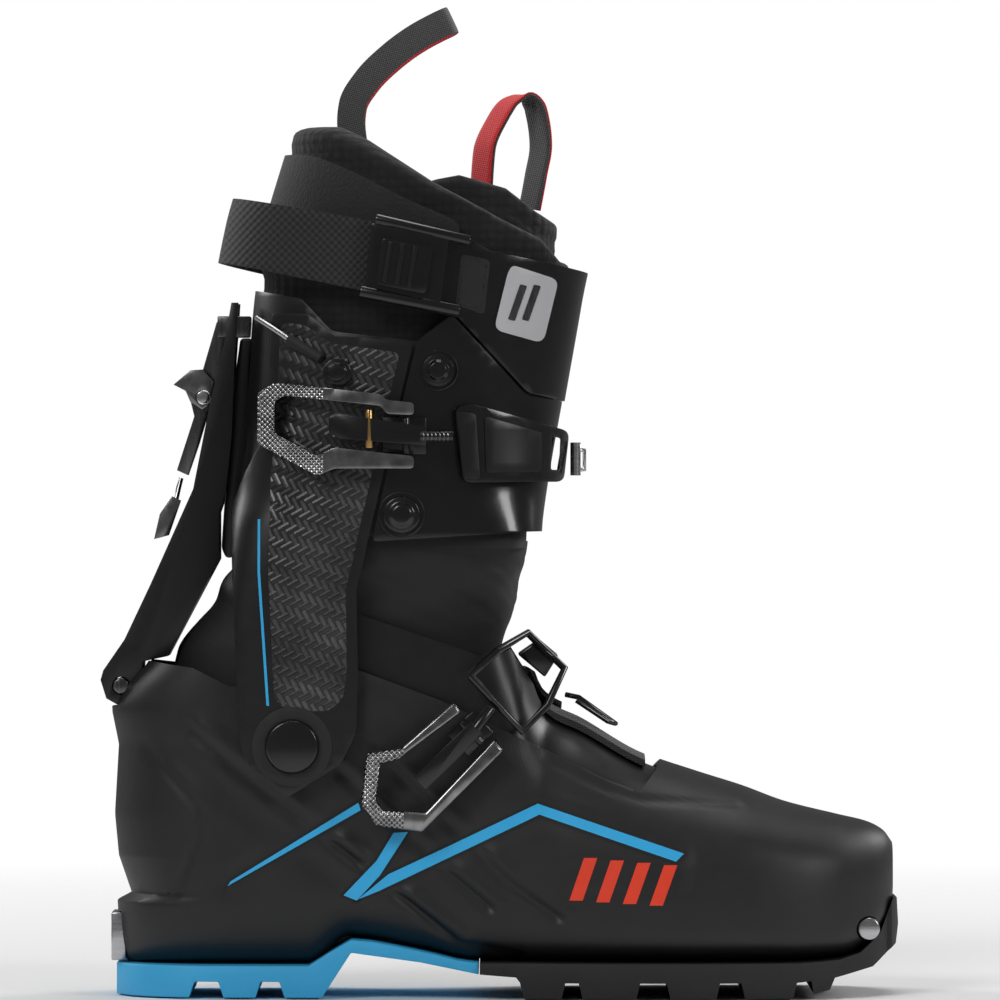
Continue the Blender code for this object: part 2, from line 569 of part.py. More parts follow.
def catch_plate():
    strip = ((-9.0, 198.0), (-9.0, 217.0), (17.0, 214.5), (17.0, 198.0))
    finish(wrap("catch_strap", strip, 0.7, 2.2), "web")
    outline = ((-16.9, 221.5), (-13.7, 193.7), (24.2, 194.1), (26.3, 213.2), (17.6, 215.5), (-11.4, 223.5))
    catch = wrap("catch_plate", outline, 2.6, 6.0)
    for x in (-9.5, 0.5, 9.0):
        slot = [(x, 198.5), (x + 3.0, 198.5), (x + 3.4, 215.0), (x + 0.4, 215.5)]
        boolean(catch, plate(f"catch_slot{x:+.0f}", slot, -70, -2, CUTTERS), "DIFFERENCE")
    finish(catch, "gloss")
    y, x = -13.0, 28.6
    hook = wire("catch_hook", [(x, y, 206.3), (32.0, y, 206.0), (32.0, y, 198.8), (x, y, 198.6)], 0.9)
    boolean(hook, rod("hook_roller", (x, y, 196.5), (x, y, 209.0), 2.0, CUTTERS, 14), "UNION")
    finish(hook, "steel")


def instep_point(along, across, y):
    """A point in the instep buckle's own frame: along the lever, across it, and Y."""
    return (INSTEP_PIN[0] + along * 0.719 + across * 0.695, y, INSTEP_PIN[1] + along * 0.695 - across * 0.719)


def instep_quad(low, high, half):
    corners = ((low, -half), (high, -half), (high, half), (low, half))
    return [instep_point(a, c, 0)[::2] for a, c in corners]


def instep_buckle():
    base = plate("instep_buckle_base", instep_quad(-7.0, 6.0, 5.6), -43.6, -41.2)
    pin = rod("instep_pin", instep_point(0, -5.6, -46.4), instep_point(0, 5.6, -46.4), 1.4, CUTTERS, 12)
    boolean(base, pin, "UNION")
    boolean(base, plate("instep_ear", instep_quad(-1.2, 1.2, 2.4), -46.6, -43.0, CUTTERS), "UNION")
    finish(base, "gloss")
    frame = ((1.2, 93.2), (-2.4, 97.4), (-27.8, 70.2), (-43.8, 70.8), (-46.4, 75.2), (-44.8, 88.4),
             (-38.0, 90.0), (-25.6, 99.2), (-14.6, 107.6), (-17.4, 111.4), (-26.3, 103.5), (-37.1, 94.2),
             (-50.0, 92.4), (-52.1, 73.1), (-46.4, 65.2), (-29.1, 62.7))
    finish(plate("instep_buckle_lever", frame, -49.6, -45.3), "gunmetal")
    link = plate("instep_buckle_link", instep_quad(-27.0, 3.0, 3.2), -51.0, -48.3)
    start, end = instep_point(2.0, 0, -50.4), (-3.4, -47.2, 109.0)
    boolean(link, rod("instep_thread", start, end, 2.1, CUTTERS, 14), "UNION")
    finish(link, "gloss")
    corners = [(-11.1, -44.6, 121.3), (-1.0, -41.5, 130.6), (10.4, -19.0, 137.0), (24.4, -18.0, 123.5),
               (17.5, -34.0, 109.5), (8.3, -44.0, 100.4)]
    finish(wire("instep_bail", corners + [corners[0]], 1.5), "gloss")
    ladder = plate("instep_ladder", ((6.6, 128.8), (14.7, 134.4), (22.2, 128.2), (17.0, 120.0)), -14.0, 7.0)
    finish(ladder, "gloss")
    strap = shell_layer("instep_strap", 0.5, 2.6)
    keep = [(-6.0, 86.0), (-2.0, 118.0), (9.0, 124.0), (24.0, 116.0), (22.0, 86.0)]
    boolean(strap, plate("instep_strap_trim", keep, 7.6, 90, CUTTERS), "INTERSECT")
    finish(strap, "web")
    ring = [(25.0, 2.0, 111.5), (30.0, 0.0, 110.5), (44.0, -1.0, 100.5), (41.0, -5.0, 101.5),
            (29.0, -6.0, 109.5)]
    finish(wire("cable_loop", [(x, y, z + 1.6) for x, y, z in ring], 1.0), "gloss")


def power_strap():
    band = ((-125.0, 281.2), (-30.0, 261.1), (-30.0, 288.2), (-125.0, 306.1))
    finish(wrap("power_strap", band, 1.4, 3.5, 0, 9.0), "web")
    body = ((-48.0, 291.0), (-19.0, 285.2), (-22.5, 259.0), (-51.0, 264.0))
    buckle = wrap("cam_buckle", body, 4.4, 7.8, rear_extra=9.0)
    for name, a, b, r in (("top", (-46.5, 292.4), (-11.0, 284.2), 2.1),
                          ("bottom", (-52.4, 265.4), (-15.0, 258.0), 2.5)):
        ends = [(x, surface_y(x, z, 7.2, -1, 9.0), z) for x, z in (a, b)]
        boolean(buckle, rod("cam_bar_" + name, ends[0], ends[1], r, CUTTERS, 14), "UNION")
    finish(buckle, "gloss")
    flap = ((-44.0, 285.2), (-25.0, 281.4), (-27.6, 264.2), (-46.6, 268.0))
    finish(wrap("cam_flap", flap, 8.2, 9.8, rear_extra=9.0), "gloss")


def cuff_cable():
    runs = ((-92.0, 256.0), (-85.0, 251.5), (-78.4, 247.0))
    path = [(x, surface_y(x, z, 1.9), z) for x, z in runs]
    cable = wire("cuff_cable", path, 0.9)
    sleeve = [(x, surface_y(x, z, 2.2), z) for x, z in ((-79.0, 247.3), (-67.5, 240.4))]
    boolean(cable, rod("cable_sleeve", sleeve[0], sleeve[1], 1.8, CUTTERS, 12), "UNION")
    finish(cable, "steel")
    y = surface_y(-61.1, 235.0, 0.0)
    post = rod("cable_post", (-61.1, y - 0.6, 235.0), (-61.1, y - 4.2, 235.0), 5.4, sides=24)
    ring = rod("post_ring", (-61.1, y - 4.0, 235.0), (-61.1, y - 5.4, 235.0), 3.4, CUTTERS, 18)
    boolean(post, ring, "UNION")
    finish(post, "gunmetal")


def cuff_liner():
    outer, thick = -ARM_WALL - CUFF_WALL - 2 * LAYER_GAP, LINER_WALL
    layer = cuff_layer("cuff_liner", CUFF_Z[5:], outer - thick, outer)
    boolean(layer, plate("cuff_liner_trim", LINER_EDGE, -90, 90, CUTTERS), "INTERSECT")
    finish(layer, "cloth")
    inner = outer - thick - 0.6
    tongue = cuff_layer("liner_tongue", CUFF_Z[9:17], inner - 5.0, inner)
    keep = ((-24.3, 215.0), (-24.3, 308.0), (-14.8, 309.7), (3.1, 305.0), (14.6, 296.6), (40.0, 280.0),
            (40.0, 215.0))
    boolean(tongue, plate("tongue_trim", keep, -90, 90, CUTTERS), "INTERSECT")
    finish(tongue, "cloth")


def pull_loops():
    side = np.array([(-56.6, 331.0), (-56.0, 337.0), (-50.6, 346.5), (-41.6, 355.5), (-32.6, 362.2),
                     (-24.0, 367.0), (-20.6, 368.6)])
    tip = side[-1]
    near = [(x, -8.5, z) for x, z in side[:-1]]
    bend = [(tip[0] + 2.0 * math.cos(a), 8.5 * math.sin(a), tip[1] + 1.0 * math.cos(a)) for a in
            np.linspace(-math.pi / 2, math.pi / 2, 7)]
    path = near + bend + [(x, -y, z) for x, y, z in near[::-1]]
    run = np.gradient(side, axis=0)
    run /= np.linalg.norm(run, axis=1)[:, None]
    ways = [(-z, 0, x) for x, z in run[:-1]]
    ways = ways + [(-run[-1][1], 0, run[-1][0])] * 7 + ways[::-1]
    finish(ribbon("rear_pull_loop", path, ways, 10.5, 1.8), "loop")
    front = [(-7.4, -4.0, 311.8), (-6.0, -3.6, 320.0), (-1.0, -3.0, 332.0), (4.0, -2.4, 338.6),
             (9.0, -1.8, 340.6), (13.6, -1.2, 336.0), (15.6, -0.6, 322.0), (13.8, 0.0, 311.0),
             (11.4, 0.6, 303.4)]
    finish(ribbon("front_pull_loop", front, [(0.5, -0.86, 0)] * len(front), 15.0, 1.8), "loop")


def rear_lock():
    strut = plate("spine_strut", STRUT, -13.5, 13.5)
    boolean(strut, block("strut_fork", (-120.0, 0, 238.0), (120.0, 18.6, 160.0), CUTTERS), "DIFFERENCE")
    foot_x, foot_z = STRUT_FOOT
    drill = rod("strut_hole", (foot_x, -30, foot_z), (foot_x, 30, foot_z), 3.4, CUTTERS)
    boolean(strut, drill, "DIFFERENCE")
    finish(strut, "shell")
    bolt = rod("strut_bolt", (STRUT_FOOT[0], -15.2, STRUT_FOOT[1]), (STRUT_FOOT[0], 15.2, STRUT_FOOT[1]), 3.0)
    finish(bolt, "steel")
    x, _, z = LEVER_HINGE
    bracket = block("lock_bracket", (x + 4.0, 0, z), (12.6, 15.0, 8.0))
    boolean(bracket, block("bracket_gap", (x - 2.4, 0, z), (13.4, 10.8, 20.0), CUTTERS), "DIFFERENCE")
    boolean(bracket, cuff_layer("bracket_keep", CUFF_Z[10:14], -20.0, -ARM_WALL, group=CUTTERS), "DIFFERENCE")
    finish(bracket, "steel")
    crown = [(x + 3.2 * math.cos(a), z + 3.2 * math.sin(a)) for a in np.linspace(0, math.pi, 7)]
    outline = crown + [(-112.9, 236.8), (-117.9, 226.0), (-116.2, 219.0), (-122.8, 198.5), (-118.6, 196.6),
                       (-114.5, 208.5), (-111.4, 219.0), (-108.4, 227.8), (-102.8, 243.0)]
    lever = plate("lock_lever", outline, -5.0, 5.0)
    left, right = (BOLT[0], -20, BOLT[2]), (BOLT[0], 20, BOLT[2])
    boolean(lever, rod("lever_hole", left, right, 2.75, CUTTERS), "DIFFERENCE")
    finish(lever, "gunmetal")
    finish(rod("lever_bolt", (BOLT[0], -8.2, BOLT[2]), (BOLT[0], 6.0, BOLT[2]), 2.4), "steel")
    fin = ((-108.6, 232.0), (-112.9, 236.8), (-117.5, 236.5), (-124.0, 231.0), (-119.4, 228.6),
           (-117.6, 224.5), (-113.0, 221.6), (-109.2, 224.0))
    catch = plate("lock_catch", fin, -7.6, -5.4)
    boolean(catch, rod("catch_hole", left, right, 2.75, CUTTERS), "DIFFERENCE")
    finish(catch, "gunmetal")
    tab_edge = ((-124.8, 188.6), (-121.4, 187.0), (-126.0, 173.8), (-131.6, 172.3), (-129.4, 182.0))
    tab = plate("pull_tab", tab_edge, -2.2, 2.2)
    cord = wire("pull_cord", [(-121.4, 0, 195.6), (-122.4, 0, 191.5), (-123.6, 0, 186.0)], 1.0, CUTTERS)
    boolean(tab, cord, "UNION")
    finish(tab, "gunmetal")


def hang(children, name, at):
    """An empty on a joint's axis, holding the pieces that turn about it."""
    axis = bpy.data.objects.new(name, None)
    axis.location = Vector(at) * MM
    BOOT.objects.link(axis)
    bpy.context.view_layer.update()
    for child in children:
        obj = bpy.data.objects[child]
        obj.parent = axis
        obj.matrix_parent_inverse = axis.matrix_world.inverted()
    return axis


def joint_axes():
    lever_y = surface_y(UPPER_PIN_X, 211.3, UPPER_PIN_OUT)
    hang(["pull_tab"], "axis_pull_tab", (-121.2, 0, 196.0))
    hang(["lock_catch"], "axis_lock_catch", BOLT)
    hang(["lock_lever", "lever_bolt", "axis_pull_tab", "axis_lock_catch"], "axis_lock_lever", LEVER_HINGE)
    hang(["upper_buckle_link"], "axis_upper_link", (-48.9, surface_y(-48.9, 213, 8.4), 213.0))
    hang(["upper_buckle_lever", "axis_upper_link"], "axis_upper_lever", (UPPER_PIN_X, lever_y, 211.3))
    hang(["cam_flap"], "axis_cam_flap", CAM_HINGE)
    hang(["instep_bail"], "axis_instep_bail", (-1.4, -44.3, 110.9))
    hang(["instep_buckle_link", "axis_instep_bail"], "axis_instep_link", instep_point(-12.0, 0, -47.4))
    hang(["instep_buckle_lever", "axis_instep_link"], "axis_instep_lever", instep_point(0, 0, -46.4))
    hang(["spine_strut"], "axis_strut", (STRUT_FOOT[0], 0, STRUT_FOOT[1]))
    cuff = ["cuff_shell", "carbon_arm_lateral", "carbon_arm_medial", "front_panel", "front_collar", "badge",
            "rivet_upper_lateral", "rivet_upper_medial", "rivet_lower_lateral", "rivet_lower_medial",
            "upper_buckle_base", "catch_strap", "catch_plate", "catch_hook", "power_strap", "cam_buckle",
            "cuff_cable", "cable_post", "cuff_liner", "liner_tongue", "rear_pull_loop", "front_pull_loop",
            "lock_bracket", "axis_lock_lever", "axis_upper_lever", "axis_cam_flap"]
    hang(cuff, "axis_cuff", (ANKLE[0], 0, ANKLE[1]))


for build in (lower_shell, overlap_flap, instep_panel, gaiter, foot_liner, heel_outsole, forefoot_outsole,
              toe_inserts, heel_fitting, pivot_caps, cuff_shell, carbon_arms, front_panels, rivets,
              upper_buckle, catch_plate, instep_buckle, power_strap, cuff_cable, cuff_liner, pull_loops,
              rear_lock, joint_axes):
    build()
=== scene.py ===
"""Looks of the alpine touring boot: fine surfaces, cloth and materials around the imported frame."""

import json
import math

import bmesh
import bpy
import numpy as np
from mathutils import Matrix, Vector

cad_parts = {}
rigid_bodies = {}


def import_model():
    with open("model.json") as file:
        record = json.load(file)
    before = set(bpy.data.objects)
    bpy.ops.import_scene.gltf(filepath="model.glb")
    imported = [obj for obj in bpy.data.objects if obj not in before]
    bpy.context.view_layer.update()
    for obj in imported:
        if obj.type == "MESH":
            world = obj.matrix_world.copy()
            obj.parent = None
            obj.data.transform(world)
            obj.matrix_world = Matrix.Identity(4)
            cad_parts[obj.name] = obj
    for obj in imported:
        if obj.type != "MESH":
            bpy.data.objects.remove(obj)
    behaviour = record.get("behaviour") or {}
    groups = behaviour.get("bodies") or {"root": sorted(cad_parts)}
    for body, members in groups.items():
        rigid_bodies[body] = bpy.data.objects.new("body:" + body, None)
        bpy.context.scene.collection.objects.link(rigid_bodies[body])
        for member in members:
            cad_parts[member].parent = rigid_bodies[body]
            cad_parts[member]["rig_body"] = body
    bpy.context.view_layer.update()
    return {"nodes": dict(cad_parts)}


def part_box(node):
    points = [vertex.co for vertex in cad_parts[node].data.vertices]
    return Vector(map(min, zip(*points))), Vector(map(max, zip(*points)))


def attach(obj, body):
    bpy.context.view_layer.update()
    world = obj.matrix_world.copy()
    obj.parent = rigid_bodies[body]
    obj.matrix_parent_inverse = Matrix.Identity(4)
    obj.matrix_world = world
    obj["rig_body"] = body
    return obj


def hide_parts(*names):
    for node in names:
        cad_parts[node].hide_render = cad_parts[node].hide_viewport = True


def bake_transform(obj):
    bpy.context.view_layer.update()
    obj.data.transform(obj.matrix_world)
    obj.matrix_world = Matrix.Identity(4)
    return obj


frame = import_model()

MM = 0.001
SHELL_WALL, ARM_WALL = 3.0, 2.5  # thickness
STRAP_REAR = 9.0  # how much further the strap stands off at the back
FINE_RING, SHELL_RING = 96, 240  # points round a section of the cuff and of the shell
SENSOR = 36.0  # millimetres
FRAME_AWAY, FRAME_WIDTH = 3.0, 0.375  # metres to the plane that just fills the photograph, and its width
AMBIENT = 0.14  # strength of the surroundings as light
ANKLE, INSERT = (-78.0, 94.7), (139.3, 25.2)  # X and Z of the cuff's pivot and of the toe insert

# X, underside, crown, half width, middle Y, height of the widest point, crown exponent
SHELL = (
    (-150.0, 12.3, 230.0, 37.0, 0.0, 62.0, 5.0), (-110.0, 12.3, 230.0, 36.8, 0.0, 62.0, 5.0),
    (-72.0, 12.3, 230.0, 38.2, 0.0, 62.0, 5.0), (-56.5, 22.2, 230.0, 38.5, 0.0, 60.0, 5.0),
    (-30.0, 18.0, 215.0, 38.5, 0.0, 52.0, 4.5), (-8.0, 13.6, 188.0, 41.0, 0.5, 44.0, 3.6),
    (4.0, 13.6, 152.0, 43.0, 1.0, 40.0, 3.0), (17.0, 13.6, 112.0, 45.5, 1.5, 37.0, 2.6),
    (31.0, 13.6, 104.6, 48.0, 2.0, 35.0, 2.5), (53.5, 13.6, 91.5, 50.5, 3.0, 33.0, 2.5),
    (75.0, 13.6, 84.0, 51.0, 3.5, 32.0, 2.5), (92.0, 13.6, 78.6, 50.5, 4.5, 32.0, 2.6),
    (109.0, 13.6, 72.3, 49.0, 6.0, 32.0, 2.7), (129.0, 14.6, 67.3, 47.0, 8.0, 34.0, 2.8),
    (140.0, 19.0, 64.6, 45.0, 9.0, 38.0, 3.0), (146.0, 27.0, 61.5, 44.0, 9.0, 42.0, 3.0),
    (149.4, 36.8, 57.0, 43.0, 9.0, 46.0, 3.0),
)
# height and how far the back of the heel stands in front of its rearmost line
HEEL_BACK = ((12.0, 2.0), (35.7, 1.0), (38.0, 6.5), (52.5, 1.5), (68.4, 0.0), (94.7, 1.5), (109.3, -1.5),
             (118.0, 3.0), (127.0, 12.0), (230.0, 40.0))
# Z, rear X, front X, half width, exponent
CUFF = (
    (60.0, -105.5, 15.0, 44.5, 12.0), (130.0, -105.0, 15.0, 44.5, 10.0), (158.0, -103.5, 15.4, 44.5, 7.5),
    (176.0, -103.0, 16.0, 44.5, 5.0), (192.0, -102.0, 18.0, 44.8, 3.2), (228.0, -99.5, 24.3, 45.5, 2.4),
    (262.0, -97.0, 30.3, 46.5, 2.3), (291.0, -92.0, 35.0, 47.0, 2.3), (312.0, -86.0, 34.0, 46.0, 2.3),
    (334.0, -79.0, 32.0, 45.0, 2.3),
)
# Z, rear X, front X, half width of the liner's outer face between foot and cuff
ANKLE_TUBE = ((96.0, -125.0, -6.0, 29.0), (112.0, -124.0, -5.0, 29.0), (130.0, -121.0, -1.5, 29.0),
              (150.0, -105.5, 4.0, 30.5), (172.0, -93.0, 9.0, 36.0))
LIP = ((-134.4, 126.6), (-115.5, 123.9), (-101.7, 117.0), (-78.0, 117.5), (-53.3, 123.3), (-21.8, 111.7),
       (11.9, 95.6), (39.9, 82.0), (52.8, 77.7), (64.0, 92.0))
ARM = ((-101.7, 184.3), (-100.1, 143.3), (-97.5, 95.6), (-94.4, 87.2), (-79.7, 75.6), (-59.6, 88.3),
       (-53.9, 99.9), (-53.3, 123.0), (-53.9, 153.9), (-51.2, 164.0), (-49.6, 172.0), (-44.0, 196.0),
       (-36.8, 228.0), (-32.6, 246.0), (-63.0, 249.6), (-72.0, 257.0), (-86.0, 258.0), (-88.5, 212.0),
       (-97.0, 196.0))
PANEL = ((-31.1, 246.6), (-35.8, 227.4), (-42.8, 195.9), (-48.0, 171.6), (10.5, 175.3), (50.0, 175.8),
         (50.0, 220.6), (10.0, 226.6), (-18.2, 256.9))
COLLAR = ((-17.6, 257.8), (10.4, 227.7), (23.8, 224.8), (50.0, 223.6), (50.0, 270.0), (-4.1, 280.8),
          (-12.0, 286.0), (-44.0, 291.0), (-44.0, 262.5))
CUFF_EDGE = ((-115.0, 168.0), (-115.0, 266.8), (-94.0, 266.8), (-74.8, 263.0), (-63.0, 250.5),
             (-32.0, 246.9), (50.0, 246.0), (50.0, 180.0), (-48.0, 174.0), (-62.0, 168.0))


# ---- camera, light and floor ----

def floor_paper():
    """Pale paper that fades into the white surroundings away from the boot."""
    mat, tree, shader = material("floor_paper")
    across, side, _, vector = place(tree)
    fibres = noise(tree, vector, 300.0)
    tint(tree, shader, fibres, (0.86, 0.86, 0.86), (0.90, 0.90, 0.90))
    rough_from(tree, shader, fibres, 0.85, 0.95)
    reach = calc(tree, "SQRT", plus(tree, times(tree, across, across), times(tree, side, side)))
    fade = tree.nodes.new("ShaderNodeMapRange")
    for socket, value in (("From Min", 0.25), ("From Max", 1.1), ("To Min", 1.0), ("To Max", 0.0)):
        fade.inputs[socket].default_value = value
    tree.links.new(reach, fade.inputs["Value"])
    tree.links.new(fade.outputs[0], shader.inputs["Alpha"])
    return mat


def lay_floor():
    bm = bmesh.new()
    bmesh.ops.create_circle(bm, cap_ends=True, segments=96, radius=1.2)
    floor = new_object("floor", bm)
    floor.location.z = -0.0006
    floor.data.materials.append(floor_paper())


def surroundings():
    """White to look at, and a weaker light on the boot."""
    world = bpy.data.worlds.new("studio")
    bpy.context.scene.world = world
    world.use_nodes = True
    tree = world.node_tree
    back = tree.nodes["Background"]
    back.inputs["Color"].default_value = (1, 1, 1, 1)
    rays = tree.nodes.new("ShaderNodeLightPath")
    seen = tree.nodes.new("ShaderNodeMapRange")
    seen.inputs["To Min"].default_value = AMBIENT
    seen.inputs["To Max"].default_value = 1.0
    tree.links.new(rays.outputs["Is Camera Ray"], seen.inputs["Value"])
    tree.links.new(seen.outputs[0], back.inputs["Strength"])


LAMPS = (  # name, place, size, watts, aim
    ("key", (-1.2, -1.9, 1.7), 0.9, 21.0, (0, 0, 0.17)),
    ("side", (1.8, -1.4, 1.0), 0.6, 11.0, (0, 0, 0.15)),
    ("top", (0.1, 0.2, 1.9), 1.0, 12.0, (0, 0, 0.2)),
    ("back_left", (-1.3, 0.9, 0.9), 0.7, 9.0, (0, 0, 0.17)),
    ("back_right", (1.3, 0.9, 0.9), 0.7, 9.0, (0, 0, 0.17)),
)


def set_stage():
    lay_floor()
    surroundings()
    for name, spot, size, watts, aim in LAMPS:
        data = bpy.data.lights.new(name, "AREA")
        data.energy, data.size = watts, size
        lamp = link(name, data)
        lamp.location = spot
        lamp.rotation_euler = (Vector(aim) - Vector(spot)).to_track_quat("-Z", "Y").to_euler()
    cam = bpy.data.cameras.new("camera")
    cam.sensor_width = SENSOR
    cam.lens = SENSOR * FRAME_AWAY / FRAME_WIDTH
    cam.clip_end = 30.0
    eye = link("camera", cam)
    eye.location = (0.0, -3.045, 0.1872)
    eye.rotation_euler = (math.radians(90), 0, 0)
    bpy.context.scene.camera = eye
    bpy.context.scene.view_settings.view_transform = "Standard"


# ---- materials ----

def material(name):
    mat = bpy.data.materials.new(name)
    mat.use_nodes = True
    return mat, mat.node_tree, mat.node_tree.nodes["Principled BSDF"]


def calc(tree, kind, a, b=0.0):
    """A Math node on two sockets or numbers."""
    node = tree.nodes.new("ShaderNodeMath")
    node.operation = kind
    for socket, value in zip(node.inputs, (a, b)):
        if isinstance(value, (int, float)):
            socket.default_value = value
        else:
            tree.links.new(value, socket)
    return node.outputs[0]


def times(tree, a, b):
    return calc(tree, "MULTIPLY", a, b)


def plus(tree, a, b):
    return calc(tree, "ADD", a, b)


def place(tree, turn=0.0):
    """Object coordinates turned about Y, as (X, Y, Z) sockets and the vector."""
    coords = tree.nodes.new("ShaderNodeTexCoord")
    turned = tree.nodes.new("ShaderNodeMapping")
    turned.inputs["Rotation"].default_value = (0, math.radians(turn), 0)
    tree.links.new(coords.outputs["Object"], turned.inputs["Vector"])
    split = tree.nodes.new("ShaderNodeSeparateXYZ")
    tree.links.new(turned.outputs[0], split.inputs[0])
    return split.outputs[0], split.outputs[1], split.outputs[2], turned.outputs[0]


def noise(tree, vector, scale, detail=3.0, rough=0.55):
    node = tree.nodes.new("ShaderNodeTexNoise")
    node.inputs["Scale"].default_value = scale
    node.inputs["Detail"].default_value = detail
    node.inputs["Roughness"].default_value = rough
    tree.links.new(vector, node.inputs["Vector"])
    return node.outputs["Fac"]


def tint(tree, shader, factor, dark, light):
    mix = tree.nodes.new("ShaderNodeMix")
    mix.data_type = "RGBA"
    mix.inputs[6].default_value = (*dark, 1)
    mix.inputs[7].default_value = (*light, 1)
    tree.links.new(factor, mix.inputs[0])
    tree.links.new(mix.outputs[2], shader.inputs["Base Color"])


def rough_from(tree, shader, factor, low, high):
    spread = tree.nodes.new("ShaderNodeMapRange")
    spread.inputs["To Min"].default_value = low
    spread.inputs["To Max"].default_value = high
    tree.links.new(factor, spread.inputs["Value"])
    tree.links.new(spread.outputs[0], shader.inputs["Roughness"])


def bumps(tree, shader, height, strength, depth):
    node = tree.nodes.new("ShaderNodeBump")
    node.inputs["Strength"].default_value = strength
    node.inputs["Distance"].default_value = depth
    tree.links.new(height, node.inputs["Height"])
    tree.links.new(node.outputs[0], shader.inputs["Normal"])


def plastic(name, dark, light, rough, grain=1400.0, bump=0.25, coat=0.0, patches=35.0):
    """Moulded plastic or paint: slow colour changes, fine grain and a slightly uneven gloss."""
    mat, tree, shader = material(name)
    vector = place(tree)[3]
    slow = noise(tree, vector, patches)
    tint(tree, shader, slow, dark, light)
    rough_from(tree, shader, noise(tree, vector, patches * 4), rough - 0.06, rough + 0.08)
    bumps(tree, shader, noise(tree, vector, grain, 2.0), bump, 0.00012)
    shader.inputs["Coat Weight"].default_value = coat
    shader.inputs["Coat Roughness"].default_value = 0.08
    return mat


def brushed(name, dark, light, rough, along="x"):
    """Metal with fine drawn lines."""
    mat, tree, shader = material(name)
    coords = place(tree)
    stretch = tree.nodes.new("ShaderNodeMapping")
    stretch.inputs["Scale"].default_value = (60, 900, 900) if along == "x" else (900, 900, 60)
    tree.links.new(coords[3], stretch.inputs["Vector"])
    lines = noise(tree, stretch.outputs[0], 1.0, 2.0)
    tint(tree, shader, lines, dark, light)
    rough_from(tree, shader, lines, rough - 0.06, rough + 0.1)
    bumps(tree, shader, lines, 0.12, 0.00006)
    shader.inputs["Metallic"].default_value = 1.0
    return mat


def carbon(name, tow=2.3):
    """Clear-coated two-by-two twill, its tows lying across each other at a slant, with painted highlight:
    slow patches in its colour stand in for gloss streaks.
    """
    mat, tree, shader = material(name)
    across, _, up, vector = place(tree, 28.0)
    u, v = (calc(tree, "DIVIDE", axis, tow * MM) for axis in (across, up))
    step = plus(tree, calc(tree, "FLOOR", u), calc(tree, "FLOOR", v))
    over = calc(tree, "GREATER_THAN", calc(tree, "FLOORED_MODULO", step, 4.0), 1.5)
    round_u, round_v = (calc(tree, "ABSOLUTE", calc(tree, "SINE", times(tree, at, math.pi))) for at in (u, v))
    under = calc(tree, "SUBTRACT", 1.0, over)
    height = plus(tree, times(tree, over, round_u), times(tree, under, round_v))
    strand = noise(tree, vector, 900.0, 2.0)
    shade = times(tree, plus(tree, times(tree, over, 0.55), 0.25), height)
    # painted highlight: slow noise patches brighten the weave's colour to stand in for gloss streaks on the
    # clear coat
    painted_gloss_streaks = calc(tree, "POWER", noise(tree, vector, 45.0, 4.0), 2.2)
    light = times(tree, plus(tree, strand, 0.3), times(tree, painted_gloss_streaks, 3.6))
    tint(tree, shader, times(tree, shade, light), (0.002, 0.002, 0.0025), (0.16, 0.16, 0.17))
    bumps(tree, shader, height, 0.5, 0.0005)
    shader.inputs["Roughness"].default_value = 0.3
    shader.inputs["Metallic"].default_value = 0.35
    shader.inputs["Coat Weight"].default_value = 1.0
    shader.inputs["Coat Roughness"].default_value = 0.06
    return mat


def webbing(name, dark, light, pitch, turn=45.0, strength=0.8, sheen=0.2):
    """Woven band: little diamonds from two crossed ribs."""
    mat, tree, shader = material(name)
    across, side, up, vector = place(tree, turn)
    step = 2 * math.pi / (pitch * MM)
    one, two = (calc(tree, "SINE", times(tree, axis, step)) for axis in (across, up))
    height = plus(tree, times(tree, times(tree, one, two), 0.5), 0.5)
    thread = noise(tree, vector, 1600.0)
    tint(tree, shader, times(tree, height, plus(tree, thread, 0.4)), dark, light)
    bumps(tree, shader, plus(tree, height, times(tree, thread, 0.5)), strength, 0.0004)
    shader.inputs["Roughness"].default_value = 0.75
    shader.inputs["Sheen Weight"].default_value = sheen
    return mat


def cells(name, dark, light, size, strength=0.7):
    """Padded knit with a honeycomb of small cells."""
    mat, tree, shader = material(name)
    vector = place(tree)[3]
    hexes = tree.nodes.new("ShaderNodeTexVoronoi")
    hexes.inputs["Scale"].default_value = 1000.0 / size
    hexes.inputs["Randomness"].default_value = 0.15
    tree.links.new(vector, hexes.inputs["Vector"])
    fuzz = noise(tree, vector, 2200.0)
    height = calc(tree, "SUBTRACT", 1.0, hexes.outputs["Distance"])
    tint(tree, shader, times(tree, height, fuzz), dark, light)
    bumps(tree, shader, plus(tree, height, times(tree, fuzz, 0.25)), strength, 0.0006)
    shader.inputs["Roughness"].default_value = 0.85
    shader.inputs["Sheen Weight"].default_value = 0.15
    return mat


def fuzzy(name, dark, light, scale=1500.0, strength=1.0, rough=0.95, sheen=0.3):
    """Loop pile or brushed cloth."""
    mat, tree, shader = material(name)
    vector = place(tree)[3]
    pile = noise(tree, vector, scale, 6.0, 0.7)
    tint(tree, shader, pile, dark, light)
    bumps(tree, shader, pile, strength, 0.0008)
    shader.inputs["Roughness"].default_value = rough
    shader.inputs["Sheen Weight"].default_value = sheen
    return mat


